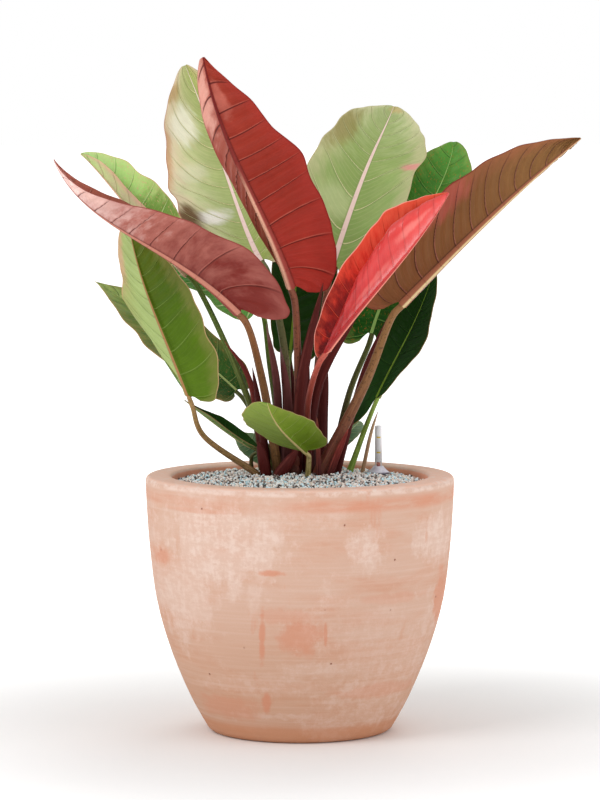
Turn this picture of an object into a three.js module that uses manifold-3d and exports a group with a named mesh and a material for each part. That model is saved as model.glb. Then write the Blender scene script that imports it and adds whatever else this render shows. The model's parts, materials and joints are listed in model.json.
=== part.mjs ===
import * as THREE from 'three';
import { mergeVertices } from 'three/addons/utils/BufferGeometryUtils.js';
import Module from 'manifold-3d';

// A red-leaved philodendron in a terracotta planter with a water gauge.
// Millimetres, +Z up, origin at the centre of the pot's foot, front towards -Y.

const wasm = await Module();
wasm.setup();

// Pot
const potHeight = 260;
const rimRadius = 156;
const rimInnerRadius = 129;
const rimRound = 4;
const footRadius = 90;
const potFloor = 24;
const potSides = 44;
const outerSteps = 7;
const innerSteps = 4;
// Outer wall as [radius, height], from the foot's edge to just below the rim
const outerWall = [[94, 4], [112, 37], [132, 86], [145.5, 135], [152.5, 190], [155.5, 236]];
const innerWall = [[127, 220], [121, 140], [104, 76], [78, 34]];

// Fill
const gap = 0.3;
const toppingTop = 251;
const toppingMound = 10;
const toppingThickness = 18;
const toppingSides = 32;
const toppingRings = [0.8, 0.6, 0.4, 0.18];
const toppingRipple = { height: 0.8, x: 9, y: 8 };
const substrateTop = toppingTop - toppingThickness;
const ringSpacing = 5;

// Stems stand on the soil, in plain holes through the granulate
const stemFoot = substrateTop + gap;
const soilClearance = 1.5;
const holeSides = 8;
const cutterReach = 20;
const petioleSides = 7;
const petioleSteps = 8;
const smallPetioleSteps = 5;
const sheathSides = 6;
const sheathSteps = 5;
const sheathTaper = 0.92;
const sheathPoint = 4;
// In half-widths of the midrib: the straight neck, and how far the petiole meets it below
const neckPerRib = 3.3;
const dropPerRib = 0.6;
const keelPerRib = 1.5;

// Water gauge
const gaugeX = 80;
const gaugeY = 25;
const gaugeTubeRadius = 3.7;
const gaugeTubeWall = 0.9;
const gaugeTubeHeight = 41;
const gaugeCollarRadius = 11.5;
const gaugeCollarHeight = 8;
const gaugeCollarBase = 258;
const gaugeCollarRim = 1.6;
const gaugeCollarNeck = 5;
const gaugeStemRadius = 7;
const gaugeStemWall = 2;
const gaugeStemFoot = 66;
const gaugeFloor = 3;
const gaugeBob = { radius: 4, height: 30, shoulder: 4 };
const gaugeRodRadius = 1;
const gaugePointer = { radius: 1.9, height: 5, above: 4 };

// Blades
const bladeThickness = 1;
const bladeRows = 13;
const halfColumns = [3, 3];
const firstTurn = 0.2;
const lastTurn = 0.13;
const outlinePower = 1.25;
const ribLag = 0.2;
const tipPoint = 2;
const twistPower = 1.5;
const ribSweep = 1.4;
const halfPhase = 2;
const sectionSteps = 24;
const mergeTolerance = 1e-4;

// Colour and roughness of each finish
const finishes = {
  terracotta: [0xd9ae97, 0.9],
  soil: [0x2b211b, 1],
  granulate: [0xbcb0a9, 0.9],
  bark: [0x5a3b26, 0.9],
  clear: [0xdfe8ec, 0.2],
  grey: [0xa9a9b4, 0.4],
  red: [0xc0392b, 0.4],
  redUnder: [0xa43b2d, 0.45],
  roseUnder: [0xaa6b5f, 0.45],
  brownUnder: [0x8b5f3f, 0.45],
  coral: [0xd84933, 0.35],
  paleGreen: [0xb5bd84, 0.45],
  lightGreen: [0xb4cd87, 0.45],
  green: [0x5a8f3a, 0.45],
  darkGreen: [0x28501f, 0.4],
  olive: [0x77843c, 0.45],
  greyGreen: [0x6f8d6c, 0.5],
  maroon: [0x54201c, 0.6],
  mauve: [0x6b434c, 0.6],
  crimson: [0xa8352f, 0.6],
  brownStem: [0x79503a, 0.5],
  oliveStem: [0x5f6234, 0.5],
  greenStem: [0x6f8a35, 0.5],
  roseStem: [0xc06a58, 0.5],
  dry: [0x8a5a3a, 0.8],
};

// Every leaf: midrib through four points, the way its upper side looks, half-width,
// fold and curl in degrees of the left and right half (seen from above, tip up), fold
// at the tip, lobe length, where it is widest, how it narrows to the base and the tip,
// dents of the margin (half, place, depth, spread), edge wave, midrib half-width, and
// the petiole below it.
const leaves = {
  tall_red: {
    midrib: [[-8, -60, 452], [-36, -85, 521], [-69, -98, 594], [-95, -92, 681]],
    dents: [[0, 0.72, 5, 0.05], [0, 0.46, 3, 0.05], [0, 0.29, 4, 0.04], [1, 0.6, 6, 0.2]],
    face: [0.5, 0.85, 0.1], halfWidth: [64, 44], fold: [42, 52], foldTip: [42, 18], curl: [6, 8],
    lobe: [28, 28], belly: [1.25, 1.8], point: [2, 1], wave: 2.5, waves: 3, rib: 3.6,
    finish: 'redUnder',
    petiole: { foot: [-3, 13], via: [-2, -14, 362], radius: 5, finish: 'brownStem' },
  },
  left_red: {
    midrib: [[-61, -80, 429], [-132, -115, 488], [-195, -140, 529], [-238, -150, 582]],
    face: [0.3, 0.75, 0.6], faceTip: [0.5, -0.5, 0.7], twist: 0.8, halfWidth: [52, 42], fold: [45, 42],
    curl: [0, 0], lobe: [46, 34], belly: [1.9, 1.9], point: [2.4, 2.4], dents: [[0, 0.5, 6, 0.09]],
    wave: 2, waves: 3, rib: 3.6, finish: 'roseUnder',
    petiole: { foot: [-22, -4], via: [-38, -28, 358], radius: 5, finish: 'brownStem' },
  },
  pale_left: {
    midrib: [[-39, 20, 474], [-60, 60, 519], [-84, 110, 583], [-121, 165, 676]],
    face: [-0.3, -0.85, 0.4], halfWidth: [61, 54], fold: [12, 14], curl: [-6, -8], lobe: [14, 26],
    dents: [[0, 0.5, 3, 0.05], [0, 0.28, 5, 0.06], [1, 0.75, 3, 0.05]], belly: [0.9, 1.1],
    basePoint: [1.5, 1], point: [1.3, 1.6], wave: 3, waves: 3, rib: 3.6, finish: 'paleGreen',
    petiole: { foot: [-12, 25], via: [-16, 30, 384], radius: 5, finish: 'oliveStem' },
  },
  pale_right: {
    midrib: [[33, 30, 470], [64, 115, 554], [84, 165, 598], [100, 210, 632]],
    face: [0, -0.85, 0.5], halfWidth: [57, 56], fold: [12, 12], curl: [-8, -8], lobe: [34, 34],
    dents: [[0, 0.7, 4, 0.06], [1, 0.5, 5, 0.06]], point: [1.3, 1.3], wave: 3, waves: 3,
    rib: 3.6, finish: 'paleGreen',
    petiole: { foot: [12, 36], via: [19, 42, 373], radius: 5, finish: 'brownStem' },
  },
  back_right: {
    midrib: [[74, 88, 397], [107, 118, 474], [143, 148, 540], [162, 172, 595]],
    face: [-0.2, -0.85, 0.5], halfWidth: [48, 46], fold: [14, 16], curl: [0, 0], lobe: [30, 22],
    point: [1.3, 1.3], wave: 3, waves: 3, rib: 3, finish: 'green',
    petiole: { foot: [32, 27], via: [51, 56, 339], radius: 4, finish: 'oliveStem' },
  },
  right_brown: {
    midrib: [[101, -35, 434], [163, -60, 498], [221, -85, 554], [275, -105, 601]],
    face: [-0.3, 0.75, 0.6], halfWidth: [53, 50], fold: [45, 45], curl: [0, 0], lobe: [34, 42],
    wave: 2.5, waves: 4, rib: 3.6, finish: 'brownUnder',
    petiole: { foot: [20, -8], via: [66, -7, 353], radius: 7, finish: 'brownStem' },
  },
  new_red: {
    midrib: [[22, -82, 386], [63, -97, 439], [106, -112, 491], [145, -120, 548]],
    face: [-0.75, -0.35, 0.5], halfWidth: [44, 52], fold: [55, 35], curl: [0, 210], lobe: [32, 6],
    belly: [0.7, 0.5], basePoint: [1.8, 1.6], point: [1.8, 2.2], wave: 1, waves: 2, rib: 3,
    finish: 'coral', columns: [3, 7],
    petiole: { foot: [9, -5], via: [8, -44, 335], radius: 4, finish: 'roseStem' },
  },
  left_light: {
    midrib: [[-112, -22, 463], [-151, -8, 506], [-191, 8, 553], [-222, 18, 584]],
    face: [0.2, -0.75, 0.6], halfWidth: [18, 40], fold: [95, 16], curl: [30, 0], lobe: [16, 20],
    dents: [[1, 0.68, 6, 0.06], [1, 0.4, 4, 0.05]],
    wave: 3, waves: 3, rib: 2.8, finish: 'lightGreen',
    petiole: { foot: [-26, 25], via: [-71, 6, 382], radius: 4, finish: 'greenStem' },
  },
  left_green: {
    midrib: [[-109, -75, 344], [-136, -72, 411], [-157, -60, 465], [-172, -45, 527]],
    face: [0.5, 0.87, 0], halfWidth: [42, 38], fold: [20, 20], curl: [10, 10], lobe: [18, 2],
    belly: [1.45, 0.8], basePoint: [1, 2.4], point: [2, 1.3], dents: [[1, 0.62, 5, 0.06], [0, 0.4, 3, 0.05]],
    wave: 3, waves: 3, rib: 2.6, finish: 'olive',
    petiole: { foot: [-44, -9], via: [-97, -44, 304], radius: 3.6, finish: 'oliveStem' },
  },
  back_left: {
    midrib: [[-46, 2, 434], [-78, 26, 455], [-113, 52, 477], [-148, 78, 498]],
    face: [0.2, -0.7, 0.66], halfWidth: [48, 34], fold: [12, 12], curl: [0, 0], lobe: [26, 4],
    dents: [[0, 0.42, 8, 0.09]],
    wave: 3, waves: 3, rib: 2.8, finish: 'green',
    petiole: { foot: [-15, 42], via: [-30, 38, 363], radius: 4, finish: 'greenStem' },
  },
  right_dark: {
    midrib: [[78, 25, 335], [101, 45, 379], [122, 55, 421], [140, 60, 472]],
    face: [-0.65, -0.7, 0.2], halfWidth: [27, 35], fold: [18, 18], curl: [0, 0], lobe: [46, 0],
    basePoint: [1.3, 1.8],
    wave: 2.5, waves: 3, rib: 2.4, finish: 'darkGreen',
    petiole: { foot: [51, 28], via: [66, 32, 302], radius: 3.4, finish: 'greenStem' },
  },
  small_right: {
    midrib: [[44, 45, 290], [50, 54, 297], [57, 64, 303], [63, 74, 307]],
    face: [-0.2, -0.9, 0.4], halfWidth: [13, 13], fold: [20, 20], curl: [0, 0], lobe: [8, 8],
    wave: 1, waves: 2, rib: 1.8, rows: 8, columns: [2, 2], finish: 'greyGreen',
    petiole: { foot: [34, 41], via: [37, 46, 276], radius: 2.6, finish: 'greenStem' },
  },
  front_olive: {
    midrib: [[5, -45, 288], [-10, -72, 304], [-23, -98, 321], [-32, -125, 343]],
    face: [0, 0.57, 0.82], halfWidth: [29, 36], fold: [14, 14], curl: [8, 8], lobe: [12, 6],
    belly: [1.7, 0.75], point: [1.7, 0.9], wave: 1.5, waves: 2, rib: 2.4, rows: 10,
    columns: [2, 2], finish: 'olive',
    petiole: { foot: [8, -27], via: [9, -32, 279], radius: 3, finish: 'oliveStem' },
  },
  left_dark: {
    midrib: [[-65, 35, 342], [-112, 60, 381], [-165, 84, 420], [-213, 100, 451]],
    face: [0.1, -0.7, 0.7], halfWidth: [42, 31], fold: [18, 18], curl: [0, 0], lobe: [16, 14],
    point: [3, 2.8], dents: [[0, 0.64, 7, 0.07]],
    wave: 2.5, waves: 3, rib: 2.4, finish: 'darkGreen',
    petiole: { foot: [-39, 28], via: [-48, 33, 316], radius: 3.2, finish: 'brownStem' },
  },
  small_left: {
    midrib: [[-48, -12, 289], [-72, -10, 304], [-95, -8, 320], [-117, -5, 336]],
    face: [0.5, -0.3, 0.8], halfWidth: [8, 10], fold: [35, 35], curl: [0, 0], lobe: [8, 8],
    point: [2, 3.5],
    wave: 1, waves: 2, rib: 1.8, rows: 8, columns: [2, 2], finish: 'darkGreen',
    petiole: { foot: [-49, 4], via: [-49, -2, 278], radius: 2.4, finish: 'oliveStem' },
  },
  small_back: {
    midrib: [[-35, 44, 272], [-46, 47, 281], [-57, 50, 289], [-67, 54, 296]],
    face: [0.3, -0.9, 0.3], halfWidth: [14, 14], fold: [16, 16], curl: [0, 0], lobe: [6, 6],
    wave: 1, waves: 2, rib: 1.8, rows: 8, columns: [2, 2], finish: 'greyGreen',
    petiole: { foot: [-30, 50], via: [-32, 47, 268], radius: 2.4, finish: 'greenStem' },
  },
  back_centre: {
    midrib: [[-10, 70, 381], [-5, 118, 440], [-2, 165, 501], [2, 204, 543]],
    face: [0, -0.75, 0.66], halfWidth: [27, 46], fold: [16, 16], curl: [0, 0], lobe: [14, 24],
    wave: 3, waves: 3, rib: 2.8, columns: [2, 2], finish: 'darkGreen',
    petiole: { foot: [0, 49], via: [-4, 58, 331], radius: 4, finish: 'greenStem' },
  },
};

// Sheaths and old stubs: foot on the soil, a point on the way, the pointed top,
// width and depth at the foot
const sheaths = {
  sheath_front_long: {
    foot: [-4, -3], via: [2, -20, 357], tip: [23, -62, 457],
    size: [12, 8], finish: 'maroon',
  },
  sheath_right_long: {
    foot: [7, 9], via: [18, -4, 351], tip: [65, -50, 440],
    size: [11, 8], finish: 'maroon',
  },
  sheath_mauve: { foot: [-14, 5], via: [-13, 8, 335], tip: [-20, 5, 389], size: [11, 7], finish: 'mauve' },
  sheath_back_left: {
    foot: [-20, 34], via: [-23, 29, 325], tip: [-27, 24, 372],
    size: [8, 6], finish: 'maroon',
  },
  sheath_back_mid: { foot: [-5, 37], via: [-7, 38, 325], tip: [-9, 40, 372], size: [9, 7], finish: 'maroon' },
  sheath_back_right: { foot: [2, 28], via: [5, 26, 325], tip: [9, 20, 376], size: [10, 8], finish: 'maroon' },
  sheath_brown: {
    foot: [-24, 11], via: [-23, 4, 345], tip: [-34, -14, 414],
    size: [9, 7], finish: 'mauve',
  },
  sheath_left: {
    foot: [-33, 0], via: [-40, -6, 320], tip: [-48, -14, 370],
    size: [8, 6], finish: 'maroon',
  },
  sheath_left_back: {
    foot: [-37, 12], via: [-52, 0, 358], tip: [-77, -8, 397],
    size: [7, 5], finish: 'crimson',
  },
  sheath_upright: {
    foot: [22, 15], via: [23, 26, 317], tip: [28, 26, 366],
    size: [12, 10], finish: 'maroon',
  },
  sheath_right: { foot: [38, 8], via: [66, 14, 366], tip: [88, 4, 418], size: [7, 5], finish: 'maroon' },
  stub: { foot: [19, -20], via: [18, -18, 296], tip: [17, -15, 320], size: [5, 4], finish: 'roseStem' },
  base_sheath_left: {
    foot: [-34, -14], via: [-38, -17, 280], tip: [-42, -17, 296],
    size: [11, 8], finish: 'maroon',
  },
  base_sheath_front: {
    foot: [-21, -23], via: [-12, -25, 274], tip: [-2, -25, 288],
    size: [12, 8], finish: 'maroon',
  },
  base_wing: { foot: [30, -17], via: [39, -17, 285], tip: [49, -16, 308], size: [7, 4], finish: 'crimson' },
  dry_strip: { foot: [64, 36], via: [73, 38, 300], tip: [80, 36, 322], size: [4, 2.4], finish: 'dry' },
};

// The old crown's stump: its outline above the soil as shares of its radius and its rise
const crown = { foot: [-7, -15], radius: 7, footShare: 0.9, top: 284 };
const crownOutline = [[1, 0.2], [0.82, 0.4], [0.95, 0.6], [0.7, 0.85]];

const plant = new THREE.Group();

function addMesh(name, geometry, finish) {
  const [color, roughness] = finishes[finish];
  const material = new THREE.MeshStandardMaterial({ color, roughness, metalness: 0 });
  const mesh = new THREE.Mesh(geometry, material);
  mesh.name = name;
  plant.add(mesh);
  return mesh;
}

function closedGeometry(points, triangles) {
  const geometry = new THREE.BufferGeometry();
  const positions = points.flatMap((p) => [p.x, p.y, p.z]);
  geometry.setAttribute('position', new THREE.Float32BufferAttribute(positions, 3));
  geometry.setIndex(triangles);
  return geometry;
}

// A turned body about the Z axis from [radius, height] pairs
function turned(profile, sides) {
  const geometry = new THREE.LatheGeometry(profile.map(([r, z]) => new THREE.Vector2(r, z)), sides);
  geometry.rotateX(Math.PI / 2);
  return geometry;
}

function toSolid(geometry) {
  const bare = geometry.clone();
  bare.deleteAttribute('normal');
  bare.deleteAttribute('uv');
  const merged = mergeVertices(bare, mergeTolerance);
  const vertProperties = new Float32Array(merged.attributes.position.array);
  const triVerts = new Uint32Array(merged.index.array);
  return new wasm.Manifold(new wasm.Mesh({ numProp: 3, vertProperties, triVerts }));
}

function fromSolid(solid) {
  const mesh = solid.getMesh();
  const geometry = new THREE.BufferGeometry();
  geometry.setAttribute('position', new THREE.Float32BufferAttribute(mesh.vertProperties, 3));
  geometry.setIndex([...mesh.triVerts]);
  return geometry;
}

function smooth(points, count) {
  const curve = new THREE.SplineCurve(points.map(([r, z]) => new THREE.Vector2(r, z)));
  return curve.getPoints(count).map((p) => [p.x, p.y]);
}

// Pot: a thick wall that swells to a rounded rim
function potProfile() {
  const top = potHeight - rimRound;
  const outer = smooth([...outerWall, [rimRadius, top]], outerSteps);
  const inner = smooth([[rimInnerRadius, top], ...innerWall], innerSteps);
  const corner = rimRound * (1 - Math.SQRT1_2);
  const outerRound = [rimRadius - corner, potHeight - corner];
  const innerRound = [rimInnerRadius + corner, potHeight - corner];
  return [
    [0, 0], [footRadius, 0], ...outer, outerRound, [rimRadius - rimRound, potHeight],
    [rimInnerRadius + rimRound, potHeight], innerRound, ...inner, [0, potFloor],
  ];
}

// Radius of the pot's inside at a height, on its straight facets
function insideRadius(height) {
  const inner = smooth([[rimInnerRadius, potHeight - rimRound], ...innerWall], innerSteps);
  for (let i = 1; i < inner.length; i += 1) {
    const [r0, z0] = inner[i - 1];
    const [r1, z1] = inner[i];
    if (height <= z0 && height >= z1) return r0 + ((r1 - r0) * (z0 - height)) / (z0 - z1);
  }
  return rimInnerRadius;
}

function substrateProfile() {
  const inner = smooth([[rimInnerRadius, potHeight - rimRound], ...innerWall], innerSteps);
  const below = inner.filter(([, z]) => z < substrateTop - ringSpacing);
  const side = below.reverse().map(([r, z]) => [r - 2 * gap, z + gap]);
  const edge = [insideRadius(substrateTop) - 2 * gap, substrateTop];
  return [[0, potFloor + gap], ...side, edge, [0, substrateTop]];
}

// The granulate's top, gently mounded towards the crown and slightly uneven
function toppingHeight(x, y) {
  const reach = Math.hypot(x, y) / rimInnerRadius;
  const mound = toppingMound * (1 - reach * reach);
  const ripple = toppingRipple.height * Math.sin(x / toppingRipple.x) * Math.cos(y / toppingRipple.y);
  return toppingTop + mound + ripple;
}

function toppingGeometry() {
  const low = substrateTop + gap;
  const edgeLow = insideRadius(low) - 2 * gap;
  const edgeTop = insideRadius(toppingTop) - 2 * gap;
  const rings = toppingRings.map((share) => [edgeTop * share, toppingTop]);
  const profile = [[0, low], [edgeLow, low], [edgeTop, toppingTop], ...rings, [0, toppingTop]];
  const geometry = turned(profile, toppingSides);
  const position = geometry.attributes.position;
  for (let i = 0; i < position.count; i += 1) {
    const x = position.getX(i);
    const y = position.getY(i);
    if (position.getZ(i) > toppingTop - 1) position.setZ(i, toppingHeight(x, y));
  }
  return geometry;
}

// A plain upright hole
function holeCutter([x, y], radius, from) {
  const height = potHeight + cutterReach - from;
  const cutter = new THREE.CylinderGeometry(radius, radius, height, holeSides);
  cutter.rotateX(Math.PI / 2);
  cutter.translate(x, y, from + height / 2);
  return toSolid(cutter);
}

// A round body over rings: each has its centre, its axis, a width and a depth
function loft(rings, sides) {
  const points = [];
  const triangles = [];
  let across = new THREE.Vector3(1, 0, 0);
  for (const { centre, axis, width, depth } of rings) {
    across = across.clone().addScaledVector(axis, -across.dot(axis)).normalize();
    const along = axis.clone().cross(across);
    for (let j = 0; j < sides; j += 1) {
      const angle = (2 * Math.PI * j) / sides;
      const point = centre.clone().addScaledVector(across, (Math.cos(angle) * width) / 2);
      points.push(point.addScaledVector(along, (Math.sin(angle) * depth) / 2));
    }
  }
  for (let i = 0; i < rings.length - 1; i += 1) {
    for (let j = 0; j < sides; j += 1) {
      const a = i * sides + j;
      const b = i * sides + ((j + 1) % sides);
      triangles.push(a, b, a + sides, b, b + sides, a + sides);
    }
  }
  const last = points.length - sides;
  for (let j = 1; j < sides - 1; j += 1) {
    triangles.push(0, j + 1, j, last, last + j, last + j + 1);
  }
  return closedGeometry(points, triangles);
}

const vector = (p) => new THREE.Vector3(...p);

// The cubic curve that passes a third and two thirds of the way through the inner points
function curveThrough(points) {
  const [a, b, c, d] = points.map(vector);
  const control = (shares) => {
    const point = new THREE.Vector3();
    [a, b, c, d].forEach((p, i) => point.addScaledVector(p, shares[i] / 6));
    return point;
  };
  return new THREE.CubicBezierCurve3(a, control([-5, 18, -9, 2]), control([2, -9, 18, -5]), d);
}

// Across one half of a blade: the place at each stop, and how it bends upwards
function halfSection(width, foldDegrees, curlDegrees, stops) {
  const places = [];
  let across = 0;
  let up = 0;
  let done = 0;
  for (const stop of stops) {
    while (done < Math.round(stop * sectionSteps)) {
      const share = (done + 0.5) / sectionSteps;
      const angle = THREE.MathUtils.degToRad(foldDegrees + curlDegrees * share * share);
      across += (width / sectionSteps) * Math.cos(angle);
      up += (width / sectionSteps) * Math.sin(angle);
      done += 1;
    }
    places.push([across, up]);
  }
  return places;
}

// One half's outline: turn runs from the sinus at the base (0) to the tip (pi)
function outline(leaf, half, length, turn) {
  const along = (1 - Math.cos(turn)) / 2;
  const belly = leaf.belly ?? [outlinePower, outlinePower];
  const atBase = turn < Math.PI / 2;
  const taper = atBase ? leaf.basePoint?.[half] ?? 1 : leaf.point?.[half] ?? tipPoint;
  const lobe = atBase ? leaf.lobe[half] * Math.sin(2 * turn) : 0;
  const share = along ** (belly[0] + ribLag);
  let width = leaf.halfWidth[half] * Math.sin(turn) ** taper;
  for (const [side, place, depth, spread] of leaf.dents ?? []) {
    if (side === half) width -= depth * Math.sin(turn) * Math.exp(-(((along - place) / spread) ** 2));
  }
  return {
    share,
    width,
    sweep: length * (along ** belly[half] - share) - lobe,
  };
}

function bladeFrame(leaf, curve, share) {
  const tangent = curve.getTangent(share);
  const up = vector(leaf.face);
  if (leaf.faceTip) up.lerp(vector(leaf.faceTip), share ** (leaf.twist ?? twistPower));
  up.addScaledVector(tangent, -up.dot(tangent)).normalize();
  return { centre: curve.getPoint(share), tangent, up, side: tangent.clone().cross(up) };
}

function bladeGeometry(leaf) {
  const curve = curveThrough(leaf.midrib);
  const length = curve.getLength();
  const rows = leaf.rows ?? bladeRows;
  const perHalf = leaf.columns ?? halfColumns;
  const grid = [];
  for (let i = 0; i <= rows; i += 1) {
    const turn = firstTurn + ((Math.PI - lastTurn - firstTurn) * i) / rows;
    const row = [];
    let ridge = 0;
    for (const half of [0, 1]) {
      const sign = half ? 1 : -1;
      const { share, width, sweep } = outline(leaf, half, length, turn);
      const frame = bladeFrame(leaf, curve, share);
      const rib = Math.min(leaf.rib * (1 - share) + 0.3, width / 3);
      const stops = [0, rib / width];
      for (let j = 1; j <= perHalf[half]; j += 1) {
        stops.push((rib + ((width - rib) * j) / perHalf[half]) / width);
      }
      const foldTip = leaf.foldTip ?? leaf.fold;
      const fold = leaf.fold[half] + (foldTip[half] - leaf.fold[half]) * share;
      const places = halfSection(width, fold, leaf.curl[half], stops);
      const points = places.map(([across, up], j) => {
        const outward = Math.max(0, (stops[j] * width - rib) / (width - rib));
        const ripple = leaf.wave * outward ** 2 * Math.sin(leaf.waves * 2 * turn + half * halfPhase);
        const point = frame.centre.clone();
        point.addScaledVector(frame.side, sign * across);
        point.addScaledVector(frame.up, up + (ripple * width) / leaf.halfWidth[half]);
        return point.addScaledVector(frame.tangent, sweep * outward ** ribSweep);
      });
      row.push(...(half ? points.slice(1) : points.reverse()));
      ridge = keelPerRib * rib;
    }
    grid.push({ points: row, ridge });
  }
  return thickened(grid, perHalf[0] + 1);
}

// Gives the grid its thickness and the midrib its keel on the underside
function thickened(grid, middle) {
  const columns = grid[0].points.length;
  const top = [];
  const bottom = [];
  grid.forEach(({ points, ridge }, i) => {
    points.forEach((point, j) => {
      const ahead = grid[Math.min(i + 1, grid.length - 1)].points[j].clone();
      ahead.sub(grid[Math.max(i - 1, 0)].points[j]);
      const across = points[Math.min(j + 1, columns - 1)].clone().sub(points[Math.max(j - 1, 0)]);
      const normal = ahead.cross(across).normalize();
      const keel = j === middle ? ridge : 0;
      top.push(point.clone().addScaledVector(normal, -bladeThickness / 2));
      bottom.push(point.clone().addScaledVector(normal, bladeThickness / 2 + keel));
    });
  });
  const points = [...top, ...bottom];
  const under = top.length;
  const triangles = [];
  for (let i = 0; i < grid.length - 1; i += 1) {
    for (let j = 0; j < columns - 1; j += 1) {
      const a = i * columns + j;
      const [b, c, d] = [a + 1, a + columns, a + columns + 1];
      triangles.push(a, b, c, b, d, c);
      triangles.push(a + under, c + under, b + under, b + under, c + under, d + under);
    }
    const [left, right] = [i * columns, (i + 1) * columns - 1];
    for (const [a, b] of [[left, left + columns], [right + columns, right]]) {
      triangles.push(a, b, a + under, b, b + under, a + under);
    }
  }
  const lastRow = (grid.length - 1) * columns;
  for (let j = 0; j < columns - 1; j += 1) {
    for (const [a, b] of [[j + 1, j], [lastRow + j, lastRow + j + 1]]) {
      triangles.push(a, b, a + under, b, b + under, a + under);
    }
  }
  return closedGeometry(points, triangles);
}

// A stem's rings: upright through the fill, then along a curve through the given points
function stemRings(foot, points, steps, section) {
  const up = new THREE.Vector3(0, 0, 1);
  const soil = new THREE.Vector3(...foot, toppingHeight(...foot) + soilClearance);
  const curve = new THREE.CatmullRomCurve3([soil, ...points]);
  const rings = [{ centre: new THREE.Vector3(...foot, stemFoot), axis: up, ...section(0) }];
  for (let i = 0; i <= steps; i += 1) {
    const along = i / steps;
    const axis = i ? curve.getTangentAt(along) : up;
    rings.push({ centre: curve.getPointAt(along), axis, ...section(along) });
  }
  return rings;
}

function petioleGeometry(leaf) {
  const curve = curveThrough(leaf.midrib);
  const { share } = outline(leaf, 0, curve.getLength(), firstTurn);
  const frame = bladeFrame(leaf, curve, share);
  const { foot, via, radius } = leaf.petiole;
  const end = frame.centre.clone().addScaledVector(frame.tangent, -gap);
  end.addScaledVector(frame.up, -dropPerRib * leaf.rib);
  const neck = end.clone().addScaledVector(frame.tangent, -neckPerRib * leaf.rib);
  const topRadius = leaf.rib - gap;
  const steps = leaf.rows ? smallPetioleSteps : petioleSteps;
  const rings = stemRings(foot, [vector(via), neck, end], steps, (along) => {
    const size = 2 * (radius + (topRadius - radius) * along ** 0.8);
    return { width: size, depth: size };
  });
  return loft(rings, petioleSides);
}

function sheathGeometry({ foot, via, tip, size }) {
  const rings = stemRings(foot, [vector(via), vector(tip)], sheathSteps, (along) => {
    const narrow = 1 - sheathTaper * along ** sheathPoint;
    return { width: size[0] * narrow, depth: size[1] * narrow };
  });
  return loft(rings, sheathSides);
}

function crownGeometry() {
  const { foot: [x, y], radius, footShare, top } = crown;
  const soil = toppingHeight(x, y);
  const above = crownOutline.map(([wide, high]) => [radius * wide, soil + high * (top - soil)]);
  const profile = [
    [0, stemFoot], [radius * footShare, stemFoot], [radius * footShare, soil], ...above, [0, top],
  ];
  const geometry = turned(profile, 10);
  geometry.translate(x, y, 0);
  return geometry;
}

function gaugeTube() {
  const base = gaugeCollarBase + gaugeCollarHeight + gap;
  const inner = gaugeTubeRadius - gaugeTubeWall;
  const top = base + gaugeTubeHeight;
  const profile = [
    [0, top - gaugeTubeWall], [inner, top - gaugeTubeWall], [inner, base], [gaugeTubeRadius, base],
    [gaugeTubeRadius, top - gaugeTubeWall], [gaugeTubeRadius - gaugeTubeWall, top], [0, top],
  ];
  return turned(profile, 16);
}

function gaugeCollar() {
  const bore = gaugeTubeRadius - gaugeTubeWall;
  const top = gaugeCollarBase + gaugeCollarHeight;
  const profile = [
    [bore, gaugeCollarBase], [gaugeCollarRadius, gaugeCollarBase],
    [gaugeCollarRadius, gaugeCollarBase + gaugeCollarRim], [gaugeCollarNeck, top],
    [bore, top], [bore, gaugeCollarBase],
  ];
  return turned(profile, 20);
}

function gaugeStem() {
  const top = gaugeCollarBase - gap;
  const bore = gaugeStemRadius - gaugeStemWall;
  const floor = gaugeStemFoot + gaugeFloor;
  const profile = [
    [0, gaugeStemFoot], [gaugeStemRadius, gaugeStemFoot], [gaugeStemRadius, top], [bore, top],
    [bore, floor], [0, floor],
  ];
  return turned(profile, 12);
}

// A bob in the stem carries a rod with a pointer that shows in the tube
function gaugeFloat() {
  const low = gaugeStemFoot + gaugeFloor + gap;
  const shoulder = low + gaugeBob.height;
  const top = gaugeCollarBase + gaugeCollarHeight + gaugePointer.above;
  const pointerFoot = top - gaugePointer.height;
  const profile = [
    [0, low], [gaugeBob.radius, low], [gaugeBob.radius, shoulder],
    [gaugeRodRadius, shoulder + gaugeBob.shoulder], [gaugeRodRadius, pointerFoot],
    [gaugePointer.radius, pointerFoot], [gaugePointer.radius, top], [0, top],
  ];
  return turned(profile, 10);
}

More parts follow.
